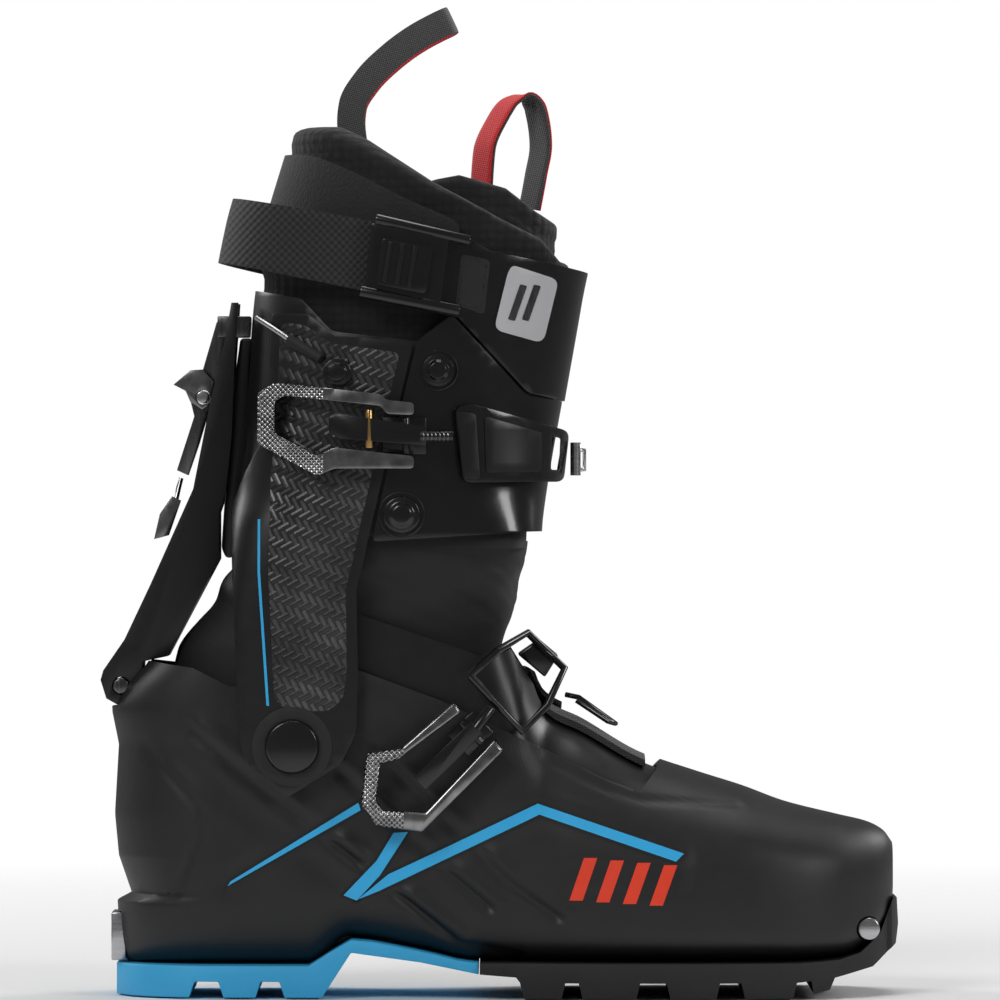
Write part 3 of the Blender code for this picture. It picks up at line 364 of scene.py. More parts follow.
def knurled(name, milled_before=None):
    """Dark polished metal. Behind an X position in millimetres it carries a crossed milled pattern."""
    mat, tree, shader = material(name)
    across, _, up, vector = place(tree)
    step = 2 * math.pi / (2.0 * MM)
    one, two = (calc(tree, "SINE", times(tree, axis, step)) for axis in (across, up))
    ribs = times(tree, one, two)
    lines = noise(tree, vector, 160.0, 4.0)
    shade = lines
    if milled_before is not None:
        zone = calc(tree, "LESS_THAN", across, milled_before * MM)
        ribs = times(tree, ribs, zone)
        shade = plus(tree, lines, times(tree, ribs, 0.6))
        bumps(tree, shader, ribs, 0.5, 0.0004)
    else:
        bumps(tree, shader, lines, 0.1, 0.0002)
    tint(tree, shader, shade, (0.07, 0.068, 0.068), (0.50, 0.49, 0.49))
    rough_from(tree, shader, lines, 0.14, 0.32)
    shader.inputs["Metallic"].default_value = 1.0
    return mat


def grey(value):
    return (value, value, value * 1.03)


def make_materials():
    return {
        "shell": plastic("shell_matte", grey(0.008), grey(0.013), 0.46, 1500, 0.3),
        "cuff": plastic("cuff_satin", grey(0.007), grey(0.011), 0.36, 1300, 0.22),
        "gloss": plastic("gloss_black", grey(0.005), grey(0.008), 0.22, 1100, 0.1, 0.25),
        "satin": plastic("satin_black", grey(0.006), grey(0.010), 0.34, 1200, 0.15),
        "carbon": carbon("carbon_twill"),
        "blue": plastic("blue_rubber", (0.035, 0.40, 0.74), (0.05, 0.46, 0.82), 0.50, 1100, 0.25),
        "paint": plastic("blue_paint", (0.03, 0.44, 0.84), (0.04, 0.48, 0.90), 0.42, 1500, 0.1),
        "red": plastic("red_paint", (0.85, 0.05, 0.015), (0.92, 0.06, 0.02), 0.45, 1500, 0.1),
        "rubber": plastic("black_rubber", grey(0.009), grey(0.016), 0.66, 700, 0.5),
        "recess": plastic("recess_black", grey(0.003), grey(0.005), 0.55, 900, 0.3),
        "steel": brushed("bright_steel", grey(0.40), grey(0.72), 0.22),
        "dark_metal": brushed("dark_metal", grey(0.08), grey(0.20), 0.24, "z"),
        "lever": knurled("gunmetal"),
        "upper_lever": knurled("upper_lever_metal", -66.0),
        "instep_lever": knurled("instep_lever_metal", -36.0),
        "brass": brushed("brass", (0.45, 0.26, 0.08), (0.70, 0.45, 0.18), 0.25, "z"),
        "liner": cells("liner_knit", grey(0.001), grey(0.026), 3.4, 1.0),
        "lining": fuzzy("lining", grey(0.003), grey(0.012), 900.0, 0.5),
        "velcro": fuzzy("velcro_pile", grey(0.0005), grey(0.036), 900.0, 1.0),
        "gaiter": fuzzy("gaiter_cloth", grey(0.003), grey(0.006), 2200.0, 0.25, 0.58, 0.05),
        "panel_cloth": webbing("instep_cloth", grey(0.010), grey(0.040), 1.2, 45, 0.6),
        "strap": webbing("strap_webbing", grey(0.001), grey(0.035), 2.9, 0, 1.0, 0.1),
        "grey_loop": webbing("grey_webbing", grey(0.022), grey(0.14), 1.1, 30, 0.6),
        "red_loop": webbing("red_webbing", (0.60, 0.010, 0.014), (0.92, 0.03, 0.04), 1.1, 30, 0.6),
        "badge": plastic("badge_silver", grey(0.52), grey(0.60), 0.42, 900, 0.1),
    }


# ---- shapes ----

def between(at, rows, column):
    """One column of a station table at a position, with smooth slopes and no overshoot."""
    xs = np.array([row[0] for row in rows], float)
    ys = np.array([row[column] for row in rows], float)
    at = float(np.clip(at, xs[0], xs[-1]))
    slope = np.diff(ys) / np.diff(xs)
    a, b = slope[:-1], slope[1:]
    inner = np.where(a * b > 0, 2 * a * b / (a + b + 1e-12), 0.0)
    grade = np.concatenate([[slope[0]], inner, [slope[-1]]])
    i = int(np.clip(np.searchsorted(xs, at) - 1, 0, len(xs) - 2))
    wide = xs[i + 1] - xs[i]
    s = (at - xs[i]) / wide
    return ((1 + 2 * s) * (1 - s) ** 2 * ys[i] + s * (1 - s) ** 2 * wide * grade[i]
            + s * s * (3 - 2 * s) * ys[i + 1] + s * s * (s - 1) * wide * grade[i + 1])


def rounded_box(t, power):
    across, up = np.cos(t), np.sin(t)
    reach = (np.abs(across) ** power + np.abs(up) ** power) ** (-1.0 / power)
    return across * reach, up * reach


def directions(count, crowd=0.0):
    """Even directions round a section, or ones that crowd towards its two flanks."""
    t = 2 * math.pi * (np.arange(count) + 0.5) / count
    return t - crowd * np.sin(2 * t) / 2


def plan_half_width(x):
    wide = between(x, SHELL, 3)
    if x < -106:
        wide *= math.sqrt(max(0.0, 1 - ((-106 - x) / 41.0) ** 2))
    if x > 100:
        wide *= max(0.0, 1 - ((x - 100) / 50.6) ** 2.3) ** (1 / 2.3)
    return wide


def shell_ring(x, grow, count=FINE_RING):
    base, top, middle, widest, power = (between(x, SHELL, c) for c in (1, 2, 4, 5, 6))
    wide = max(plan_half_width(x) + grow, 1.5)
    top, base = top + grow, base - grow
    t = directions(count, 0.5)
    up = np.sin(t) > 0
    across, rise = rounded_box(t, np.where(up, power, 4.5))
    y = middle + wide * across
    z = widest + np.where(up, top - widest, widest - base) * rise
    share = float(np.clip((-95 - x) / 45.0, 0, 1))
    back = np.interp(z, [row[0] for row in HEEL_BACK], [row[1] for row in HEEL_BACK])
    return np.stack([x + share * back, y, z], axis=1)


def cuff_section(z, grow, rear_extra=0.0):
    """Rear X, front X, half width and exponent of the cuff at a height, with its face moved out."""
    rear, front, wide, power = (between(z, CUFF, c) for c in (1, 2, 3, 4))
    return rear - grow - rear_extra, front + grow, wide + grow, power


def cuff_ring(z, grow, rear_extra=0.0, count=FINE_RING):
    rear, front, wide, power = cuff_section(z, grow, rear_extra)
    along, out = rounded_box(directions(count), power)
    return np.stack([(rear + front) / 2 + (front - rear) / 2 * along, wide * out, np.full(count, z)], axis=1)


def ankle_ring(z, grow, count=FINE_RING):
    rear, front, wide = (between(z, ANKLE_TUBE, c) for c in (1, 2, 3))
    along, out = rounded_box(directions(count), 2.35)
    x = (rear + front) / 2 + ((front - rear) / 2 + grow) * along
    return np.stack([x, (wide + grow) * out, np.full(count, z)], axis=1)


def surface_y(x, z, grow, side=-1, rear_extra=0.0):
    """Y of the cuff's face over a point seen from the side."""
    rear, front, wide, power = cuff_section(z, grow, rear_extra)
    u = min(abs((x - (rear + front) / 2) / ((front - rear) / 2)), 0.999)
    return side * wide * (1 - u ** power) ** (1 / power)


def link(name, data):
    obj = bpy.data.objects.new(name, data)
    bpy.context.scene.collection.objects.link(obj)
    return obj


def new_object(name, bm):
    bmesh.ops.recalc_face_normals(bm, faces=bm.faces)
    mesh = bpy.data.meshes.new(name)
    bm.to_mesh(mesh)
    bm.free()
    return link(name, mesh)


def skin(bm, pairs):
    """Quads between neighbouring closed rows of vertices."""
    for low, high in pairs:
        count = len(low)
        for i in range(count):
            bm.faces.new((low[i], low[(i + 1) % count], high[(i + 1) % count], high[i]))


def grid_solid(name, rings, closed_ends=True):
    """A solid through a row of sections. With closed_ends off, the last section meets the first again."""
    bm = bmesh.new()
    rows = [[bm.verts.new(Vector(point) * MM) for point in ring] for ring in rings]
    count = len(rows[0])
    skin(bm, list(zip(rows, rows[1:])) + ([] if closed_ends else [(rows[-1], rows[0])]))
    if closed_ends:
        for row in (rows[0], rows[-1]):
            for i in range(-count // 4, count // 4 - 1):
                bm.faces.new((row[i], row[i + 1], row[count // 2 - 2 - i], row[count // 2 - 1 - i]))
    return new_object(name, bm)


def prism(name, outline, low, high):
    """An X-Z outline as a solid from Y = low to Y = high."""
    bm = bmesh.new()
    face = bm.faces.new([bm.verts.new((x * MM, low * MM, z * MM)) for x, z in outline])
    grown = bmesh.ops.extrude_face_region(bm, geom=[face])
    for vert in grown["geom"]:
        if isinstance(vert, bmesh.types.BMVert):
            vert.co.y = high * MM
    return new_object(name, bm)


def round_outline(centre, radius, count):
    (x, z), turn = centre, np.linspace(0, 2 * math.pi, count)[:-1]
    return [(x + radius * math.cos(a), z + radius * math.sin(a)) for a in turn]


def apply(obj):
    """Works the modifiers into the mesh."""
    graph = bpy.context.evaluated_depsgraph_get()
    mesh = bpy.data.meshes.new_from_object(obj.evaluated_get(graph))
    obj.modifiers.clear()
    obj.data = mesh
    return obj


def boolean(obj, tool, operation="DIFFERENCE"):
    step = obj.modifiers.new("cut", "BOOLEAN")
    step.operation, step.solver, step.object = operation, "MANIFOLD", tool
    bpy.context.view_layer.update()
    apply(obj)
    bpy.data.objects.remove(tool, do_unlink=True)
    return obj


def crop(obj, outline, near, far):
    """Keeps what lies inside an X-Z outline from Y = near to Y = far."""
    return boolean(obj, prism("crop", outline, near, far), "INTERSECT")


def soften(obj, width, segments=2, angle=38.0):
    """Rounds the sharp edges and shades the rest smooth."""
    bm = bmesh.new()
    bm.from_mesh(obj.data)
    bmesh.ops.remove_doubles(bm, verts=bm.verts, dist=2e-6)
    bmesh.ops.dissolve_degenerate(bm, edges=bm.edges, dist=2e-6)
    bm.to_mesh(obj.data)
    bm.free()
    if width:
        bevel = obj.modifiers.new("edge", "BEVEL")
        bevel.width, bevel.segments = width * MM, segments
        bevel.limit_method, bevel.angle_limit = "ANGLE", math.radians(angle)
        bevel.use_clamp_overlap = True
        bpy.context.view_layer.update()
        apply(obj)
    obj.data.polygons.foreach_set("use_smooth", [True] * len(obj.data.polygons))
    obj.data.set_sharp_from_angle(angle=math.radians(angle))
    return obj


def dress(obj, mat, body, nodes=()):
    """Gives a piece its material and body, and hides the CAD nodes that it stands in for."""
    obj.data.materials.clear()
    obj.data.materials.append(MATERIALS[mat])
    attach(obj, body)
    if nodes:
        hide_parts(*nodes)
    return obj


def cuff_wrap(name, outline, low, high, side=-1, rear_extra=0.0, step=4.0):
    """A piece of a layer round the cuff, cut to an X-Z outline. Side 0 keeps both sides."""
    zs = [z for _, z in outline]
    heights = np.arange(min(zs) - step, max(zs) + step + 0.1, step)
    outer = [cuff_ring(z, high, rear_extra) for z in heights]
    inner = [cuff_ring(z, low, rear_extra) for z in heights]
    layer = grid_solid(name, outer + inner[::-1], closed_ends=False)
    near, far = {-1: (-80, -0.5), 1: (0.5, 80), 0: (-80, 80)}[side]
    return crop(layer, outline, near, far)


def copy_node(name, mat, width):
    """A CAD piece with its edges rounded, in place of the node."""
    node = frame["nodes"][name]
    obj = link("fine_" + name, node.data.copy())
    bm = bmesh.new()
    bm.from_mesh(obj.data)
    bmesh.ops.remove_doubles(bm, verts=bm.verts, dist=1e-5)
    bmesh.ops.dissolve_limit(bm, angle_limit=math.radians(1.0), verts=bm.verts, edges=bm.edges)
    bm.to_mesh(obj.data)
    bm.free()
    soften(obj, width, angle=34.0)
    dress(obj, mat, node["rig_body"], [name])


# ---- lower shell ----

def distance_to(line, x, z):
    best = np.full(x.shape, 1e9)
    for (ax, az), (bx, bz) in zip(line, line[1:]):
        dx, dz = bx - ax, bz - az
        t = np.clip(((x - ax) * dx + (z - az) * dz) / (dx * dx + dz * dz), 0, 1)
        best = np.minimum(best, np.hypot(x - ax - t * dx, z - az - t * dz))
    return best


CREASES = (  # X-Z line on the flank, half width, height
    (((-115.5, 100.0), (-98.6, 86.0), (-71.0, 64.0), (-52.3, 49.3), (-15.5, 19.9), (7.5, 15.7)), 1.7, -1.9),
    (((-112.5, 101.6), (-95.6, 89.4), (-68.0, 67.4), (-49.3, 52.7), (-12.5, 23.3)), 2.4, 1.2),
    (((-122.0, 92.0), (-104.0, 78.0), (-76.0, 56.0), (-60.0, 43.0)), 5.0, -0.8),
    (((-60.8, 86.0), (-40.0, 66.0), (-22.0, 49.0), (-3.9, 33.6)), 1.6, -1.4),
    (((-57.8, 89.0), (-37.0, 69.0), (-19.0, 52.0), (-0.9, 36.6)), 2.0, 0.8),
    (((-47.0, 92.0), (-20.0, 66.0), (2.0, 44.0), (22.0, 30.0)), 1.6, -1.3),
    (((-44.0, 95.0), (-17.0, 69.0), (5.0, 47.0), (25.0, 33.0)), 2.0, 0.8),
    (((-134.4, 94.7), (-112.3, 70.4), (-111.2, 66.2), (-122.8, 37.8), (-138.6, 36.2)), 1.1, -1.1),
    (((-53.3, 119.5), (-21.8, 108.0), (11.9, 92.0), (39.9, 78.6), (52.8, 74.4), (90.0, 72.5)), 1.1, -0.7),
    (((20.0, 74.0), (52.0, 66.0), (92.0, 58.0), (128.0, 52.0)), 8.0, 0.7),
)


STRIPE_RUNS = (
    ((-101.7, 42.6), (-52.9, 72.2)), ((-56.5, 37.6), (-45.5, 49.0), (-37.2, 62.3)),
    ((-50.0, 39.0), (-22.5, 53.3), (14.5, 71.2), (67.0, 53.2)), ((28.0, 46.0), (66.0, 45.0)),
)


def relief(ring, middle):
    """How far the shell's face stands in or out at each point of a section. Grooves stop at the stripes."""
    x, y, z = ring.T
    flank = np.clip((np.abs(y - middle) - 22.0) / 10.0, 0, 1)
    height = sum(depth * np.exp(-(distance_to(line, x, z) / wide) ** 2) for line, wide, depth in CREASES)
    near = np.min([distance_to(run, x, z) for run in STRIPE_RUNS], axis=0)
    flat = np.where(y < middle, np.exp(-(near / 5.5) ** 4), 0.0)
    return height * flank * (1 - flat) - 0.5 * flat * flank


def shell_solid(name, low, high, relieved=True, span=(-200.0, 200.0)):
    """A layer of the shell between two faces, given out from its outer face, over a span of X."""
    stations = np.concatenate([-146.2 + 12 * np.linspace(0, 1, 16) ** 1.6, np.arange(-132.5, 134.0, 1.5),
                               134.5 + 14.9 * (1 - np.linspace(1, 0, 18) ** 1.6)])
    stations = stations[(stations > span[0] - 4) & (stations < span[1] + 4)]
    rings = []
    for x in stations:
        ring, proud = shell_ring(x, high, SHELL_RING), shell_ring(x, high + 1.0, SHELL_RING)
        if relieved:
            ring = ring + (proud - ring) * relief(ring, between(x, SHELL, 4))[:, None]
        rings.append(ring)
    outer = grid_solid(name, rings)
    first, last = stations[0] - (1.0 if stations[0] > -146 else min(low, 0)), stations[-1]
    last = last + (1.0 if stations[-1] < 149 else min(low, 0))
    inner_x = np.linspace(first, last, 70)
    inner = grid_solid("core", [shell_ring(x, low, 64) for x in inner_x])
    return boolean(outer, inner)


def lower_shell():
    """The shell with its mouth, the throat over the instep and the recesses for pins and fittings."""
    shell = shell_solid("shell_body", -SHELL_WALL, 0.0)
    above = LIP + ((70.0, 400.0), (-200.0, 400.0), (-200.0, 126.6))
    throat = ((-60.0, 190.0), (-60.0, 100.0), (12.0, 90.0), (56.0, 70.0), (56.0, 190.0))
    cradle = ((-158.6, 109.0), (-128.6, 109.0), (-128.6, 127.0), (-158.6, 127.0))
    heel = ((-156.5, 11.7), (-141.5, 11.7), (-141.5, 31.3), (-156.5, 31.3))
    cuts = ((above, -90, 90), (throat, -15.5, 17.5), (cradle, -14, 14), (heel, -11.7, 11.7))
    for outline, near, far in cuts:
        boolean(shell, prism("cut", outline, near, far))
    socket = round_outline(INSERT, 4.8, 32)
    lo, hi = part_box("toe_insert_lateral")
    boolean(shell, prism("cut", socket, lo.y / MM - 8, hi.y / MM + 1))
    lo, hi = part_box("toe_insert_medial")
    boolean(shell, prism("cut", socket, lo.y / MM - 1, hi.y / MM + 8))
    dress(soften(shell, 0.0, angle=55), "shell", "boot_base", ["lower_shell"])


def shell_patch(name, outline, mat, proud=0.22):
    """A thin painted patch on the outer flank."""
    xs = [x for x, _ in outline]
    layer = shell_solid(name, -1.0, proud, span=(min(xs), max(xs)))
    crop(layer, outline, -90, -10)
    dress(soften(layer, 0.0, angle=40), mat, "boot_base")


STRIPES = (
    ((-102.5, 42.0), (-101.3, 43.8), (-53.2, 73.4), (-52.4, 70.6)),
    ((-58.8, 38.6), (-53.9, 36.6), (-45.2, 46.0), (-34.6, 62.4), (-40.0, 62.1), (-46.4, 51.6)),
    ((-53.5, 37.0), (-46.0, 40.0), (-22.5, 51.2), (14.8, 69.1), (66.0, 51.6), (69.0, 54.6), (14.1, 73.2),
     (-22.5, 55.6), (-42.0, 46.5)),
)


def stripes():
    """Blue lines on the outer flank, and slanted red bars by the toe in place of lettering."""
    for index, outline in enumerate(STRIPES):
        shell_patch(f"stripe_border_{index}", inset(outline, -1.1), "recess", proud=0.12)
        shell_patch(f"stripe_{index}", outline, "paint", proud=0.25)
    for index in range(4):
        x, low, high = 26.0 + 10.0 * index, 37.0 - index * 0.6, 53.0 - index * 0.9
        slanted = ((x, low), (x + 5, low), (x + 10.5, high), (x + 5.5, high))
        shell_patch(f"toe_bar_{index}", slanted, "red")


# ---- helpers for outlines and small parts ----

def rounded(outline, radius, steps=4):
    """The outline with each corner replaced by a short curve."""
    points = []
    count = len(outline)
    for i in range(count):
        before, corner, after = (np.array(outline[j % count], float) for j in (i - 1, i, i + 1))
        ends = []
        for other in (before, after):
            away = other - corner
            length = np.linalg.norm(away)
            ends.append(corner + away / length * min(radius, 0.45 * length))
        for t in np.linspace(0, 1, steps + 1):
            points.append(tuple((1 - t) ** 2 * ends[0] + 2 * t * (1 - t) * corner + t * t * ends[1]))
    return points


def inset(outline, depth):
    """The outline moved inwards."""
    points = [np.array(p, float) for p in outline]
    turn = sum(a[0] * b[1] - b[0] * a[1] for a, b in zip(points, points[1:] + points[:1]))
    side = 1 if turn > 0 else -1
    moved = []
    for i, corner in enumerate(points):
        before, after = points[i - 1], points[(i + 1) % len(points)]
        one, two = (v / np.linalg.norm(v) for v in (corner - before, after - corner))
        left, right = (side * np.array((-v[1], v[0])) for v in (one, two))
        way = left + right
        way /= max(np.linalg.norm(way), 1e-6)
        moved.append(tuple(corner + way * depth / max(way @ left, 0.35)))
    return moved


def bar(name, start, end, radius, mat, body, sides=24):
    """A round bar with softened ends."""
    a, b = Vector(start) * MM, Vector(end) * MM
    turn = (b - a).to_track_quat("Z", "Y").to_matrix().to_4x4()
    bm = bmesh.new()
    bmesh.ops.create_cone(bm, cap_ends=True, segments=sides, radius1=radius * MM, radius2=radius * MM,
                          depth=(b - a).length, matrix=Matrix.Translation((a + b) / 2) @ turn)
    obj = soften(new_object(name, bm), min(radius * 0.3, 0.5))
    return dress(obj, mat, body)


def ring(name, centre, side, radius, thick, mat, body, sides=48):
    """A raised ring on a face that looks to the side."""
    bm = bmesh.new()
    loops = []
    for a in np.linspace(0, 2 * math.pi, sides, endpoint=False):
        row = []
        for b in np.linspace(0, 2 * math.pi, 12, endpoint=False):
            out = radius + thick * math.cos(b)
            row.append(bm.verts.new(((centre[0] + out * math.cos(a)) * MM,
                                     (centre[1] + side * thick * math.sin(b)) * MM,
                                     (centre[2] + out * math.sin(a)) * MM)))
        loops.append(row)
    skin(bm, zip(loops, loops[1:] + loops[:1]))
    return dress(soften(new_object(name, bm), 0.0), mat, body)


def line_of_stitches(name, path, grow, mat, body, length=2.4, gap=1.2, radius=0.28):
    """Short raised stitches along an X-Z path on the cuff's face, as one object."""
    bm = bmesh.new()
    for (ax, az), (bx, bz) in zip(path, path[1:]):
        run = math.hypot(bx - ax, bz - az)
        for at in np.arange(0.5, run - length, length + gap):
            ends = []
            for t in (at / run, (at + length) / run):
                x, z = ax + (bx - ax) * t, az + (bz - az) * t
                ends.append(Vector((x, surface_y(x, z, grow), z)) * MM)
            turn = (ends[1] - ends[0]).to_track_quat("Z", "Y").to_matrix().to_4x4()
            bmesh.ops.create_uvsphere(
                bm, u_segments=8, v_segments=6, radius=1.0,
                matrix=Matrix.Translation((ends[0] + ends[1]) / 2) @ turn
                @ Matrix.Diagonal((radius * MM, radius * MM, length / 2 * MM, 1)))
    return dress(soften(new_object(name, bm), 0.0, angle=80), mat, body)


# ---- foot: flap, instep panel, soles and fittings ----

FLAP_EDGE = ((-62.0, 96.0), (-62.0, 140.0), (-53.3, 144.3), (-4.9, 127.5), (4.0, 131.0), (17.6, 109.3),
             (74.0, 110.0), (74.0, 60.0), (20.0, 64.0), (-30.0, 84.0))
CLOTH_EDGE = ((17.6, 103.0), (17.6, 114.0), (31.0, 108.0), (55.0, 96.0), (55.0, 80.0), (37.0, 88.0))


def foot_covers():
    flap = shell_solid("flap", -5.8, -3.8, relieved=False)
    crop(flap, FLAP_EDGE, -90, 90)
    dress(soften(flap, 0.0, angle=35), "satin", "boot_base", ["overlap_flap"])
    panel = shell_solid("instep_cloth", -2.7, -0.3, relieved=False)
    crop(panel, CLOTH_EDGE, -15.0, 17.0)
    dress(soften(panel, 0.0, angle=35), "panel_cloth", "boot_base", ["instep_panel"])
    band = shell_solid("instep_band", 0.5, 2.6, relieved=False, span=(-12.0, 30.0))
    edge = ((-6.0, 86.0), (-2.0, 118.0), (9.0, 124.0), (24.0, 116.0), (22.0, 86.0))
    crop(band, rounded(edge, 2.0), 7.6, 90)
    dress(soften(band, 0.4, angle=40), "strap", "boot_base", ["instep_strap"])


HARD = (  # node, material, edge radius
    ("heel_outsole", "blue", 0.5), ("forefoot_outsole", "rubber", 0.5), ("toe_insert_lateral", "steel", 0.4),
    ("toe_insert_medial", "steel", 0.4), ("heel_fitting", "steel", 0.5), ("pivot_lateral", "gloss", 0.5),
    ("pivot_medial", "gloss", 0.5), ("strut_bolt", "dark_metal", 0.5), ("instep_buckle_base", "gloss", 0.4),
    ("instep_ladder", "gloss", 0.8), ("cable_loop", "gloss", 0.0),
    ("instep_buckle_lever", "instep_lever", 0.9), ("instep_buckle_link", "gloss", 0.5),
    ("instep_bail", "gloss", 0.0), ("spine_strut", "satin", 1.0),
    ("lock_lever", "dark_metal", 0.6), ("lever_bolt", "steel", 0.4), ("lock_catch", "lever", 0.4),
    ("pull_tab", "lever", 0.4), ("lock_bracket", "dark_metal", 0.5),
    *((f"rivet_{at}_{side}", "gloss", 0.6) for at in ("upper", "lower") for side in ("lateral", "medial")),
    ("upper_buckle_base", "gloss", 0.4), ("catch_hook", "steel", 0.0),
    ("cuff_cable", "steel", 0.0), ("cable_post", "gloss", 0.5), ("upper_buckle_link", "gloss", 0.4),
)


def hard_parts():
    for name, mat, width in HARD:
        copy_node(name, mat, width)


# ---- cuff ----

WEAVE = ((-84.5, 212.0), (-86.2, 196.0), (-87.0, 160.0), (-84.8, 113.0), (-80.0, 108.0), (-64.0, 108.0),
         (-58.6, 113.0), (-57.4, 123.0), (-57.9, 154.0), (-55.0, 165.0), (-53.5, 173.0), (-48.0, 197.0),
         (-41.5, 226.0), (-37.5, 242.5), (-64.0, 246.0), (-73.0, 253.0), (-82.6, 254.0))
ARM_LINE = ((-91.0, 180.0), (-91.0, 160.0), (-87.6, 110.0))
LEVER_FRAME = ((-91.0, 227.4), (-91.0, 208.3), (-68.4, 196.3), (-62.0, 199.0), (-32.2, 199.0), (-32.2, 203.6),
               (-62.0, 206.8), (-68.5, 203.6), (-84.6, 212.2), (-84.6, 224.2), (-81.0, 226.4), (-44.4, 222.4),
               (-42.5, 219.4), (-32.2, 219.0), (-32.2, 223.6), (-42.5, 224.6), (-44.4, 226.8), (-84.4, 231.2))
CATCH_EDGE = ((-16.9, 221.5), (-13.7, 193.7), (24.2, 194.1), (26.3, 213.2), (17.6, 215.5), (-11.4, 223.5))
BADGE_EDGE = ((2.9, 272.4), (4.6, 275.4), (20.4, 270.6), (21.8, 268.6), (16.8, 248.2), (14.6, 246.6),
              (-0.4, 250.6), (-1.9, 252.8))
WINDOW = ((-14.6, 279.5), (-3.6, 277.2), (-5.8, 256.6), (-16.8, 260.4))


def cuff_plate(name, outline, low, high, mat, nodes=(), side=-1, body="cuff", edge=0.5, corner=2.0,
               rear_extra=0.0, cuts=()):
    piece = cuff_wrap(name, rounded(outline, corner) if corner else outline, low, high, side, rear_extra)
    for cut in cuts:
        near, far = (-80, -2) if side < 0 else (2, 80)
        boolean(piece, prism("cut", rounded(cut, 0.8), near, far))
    soften(piece, edge, angle=40)
    return dress(piece, mat, body, nodes)


def cuff_hard():
    cuff_plate("cuff_body", CUFF_EDGE, -5.7, -3.4, "cuff", ["cuff_shell"], side=0, edge=0.4)
    for name, side in (("lateral", -1), ("medial", 1)):
        cuff_plate(f"arm_edge_{name}", ARM, -ARM_WALL, -0.12, "satin", [f"carbon_arm_{name}"], side, edge=0.5)
        weave = rounded(WEAVE, 3.0)
        cuff_plate(f"arm_weave_{name}", weave, -1.0, 0.1, "carbon", side=side, edge=0.0, corner=0)
        cuff_plate(f"pivot_plate_{name}", round_outline(ANKLE, 15.0, 37), -0.6, 0.35, "rubber",
                   side=side, edge=0.3, corner=0)
    line = list(ARM_LINE) + [(x + 1.0, z) for x, z in reversed(ARM_LINE)]
    cuff_plate("arm_line", line, -0.3, 0.22, "paint", edge=0.0, corner=0)
    cuff_plate("panel", PANEL, -ARM_WALL, 0.0, "gloss", ["front_panel"], side=0, edge=0.6)
    cuff_plate("collar", COLLAR, -ARM_WALL, 0.9, "gloss", ["front_collar"], side=0, edge=0.6)
    cuff_plate("collar_window", WINDOW, 0.3, 1.15, "rubber", edge=0.2)
    seam = inset(WINDOW, 1.2)
    line_of_stitches("window_stitches", seam + seam[:1], 1.2, "strap", "cuff")
    cuff_plate("badge_plate", BADGE_EDGE, 1.1, 2.0, "badge", ["badge"], edge=0.25)
    for shift in (0.0, 5.2):
        slash = ((3.0 + shift, 255.0), (5.6 + shift, 254.4), (10.2 + shift, 267.6), (7.6 + shift, 268.2))
        cuff_plate(f"badge_bar_{shift:.0f}", slash, 1.8, 2.15, "dark_metal", edge=0.0, corner=0.5)
    for level, x, z, radius in (("upper", -23.3, 235.8, 7.4), ("lower", -36.9, 181.7, 8.4)):
        for side in (-1, 1):
            y = surface_y(x, z, 0.1, side)
            ring(f"{level}_ring_{side}", (x, y, z), side, radius, 0.35, "satin", "cuff")


def buckles():
    strip = ((-9.0, 198.0), (-9.0, 217.0), (17.0, 214.5), (17.0, 198.0))
    cuff_plate("catch_webbing", strip, 0.7, 2.2, "strap", ["catch_strap"], edge=0.4)
    cuff_plate("lever_frame", LEVER_FRAME, 4.2, 9.0, "upper_lever", ["upper_buckle_lever"],
               body="upper_lever_body", edge=0.9, corner=1.6)
    cuts = [((19.2, 198.6), (22.4, 198.6), (22.8, 210.6), (19.6, 211.2))]
    cap = ((-16.2, 220.4), (-13.4, 195.2), (-7.4, 195.0), (-9.0, 219.6))
    cuff_plate("catch_cap", cap, 5.6, 7.2, "satin", edge=0.4, corner=1.6)
    cuff_plate("catch_face", ((-5.8, 218.6), (-5.2, 197.4), (15.6, 197.6), (15.8, 212.6)), 5.7, 6.5, "satin",
               edge=0.3, corner=1.6)
    cuff_plate("catch_body", CATCH_EDGE, 2.6, 6.0, "gloss", ["catch_plate"], edge=0.5, corner=3.0, cuts=cuts)
    ends = [(x, surface_y(x, z, 2.2), z) for x, z in ((-79.6, 247.7), (-67.0, 240.1))]
    bar("cable_sleeve", ends[0], ends[1], 2.05, "rubber", "cuff")
    y = surface_y(-48.9, 213, 8.8)
    bar("cross_pin", (-48.9, y, 206.6), (-48.9, y, 220.9), 1.45, "brass", "upper_link_body")
    for at in np.arange(-29.0, -18.5, 1.5):
        a, b = ((x, surface_y(x, 211, 8.8), 211.1) for x in (at, at + 0.75))
        bar(f"thread_{-at:.1f}", a, b, 2.35, "dark_metal", "upper_link_body", 16)


# ---- soft goods ----

LINER_OUT, LINER_IN = -6.6, -12.6  # the liner's two faces, out from the cuff's face
LINER_TOP = ((-130.0, 329.0), (-74.0, 328.6), (-62.6, 328.0), (-51.6, 323.0), (-25.3, 307.0), (1.0, 293.4),
             (16.8, 286.0), (24.2, 277.7), (60.0, 270.0))
TONGUE_TOP = ((-30.0, 306.0), (-24.3, 308.0), (-14.8, 309.7), (3.1, 305.0), (14.6, 296.6), (40.0, 282.0))


def curve_at(table, x):
    return np.interp(x, [row[0] for row in table], [row[1] for row in table])


def wall_point(t, z, grow):
    """A point of the cuff's section at height z, in the direction t."""
    rear, front, wide, power = cuff_section(z, grow)
    along, out = rounded_box(np.array([t]), power)
    return np.array(((rear + front) / 2 + (front - rear) / 2 * along[0], wide * out[0], z))


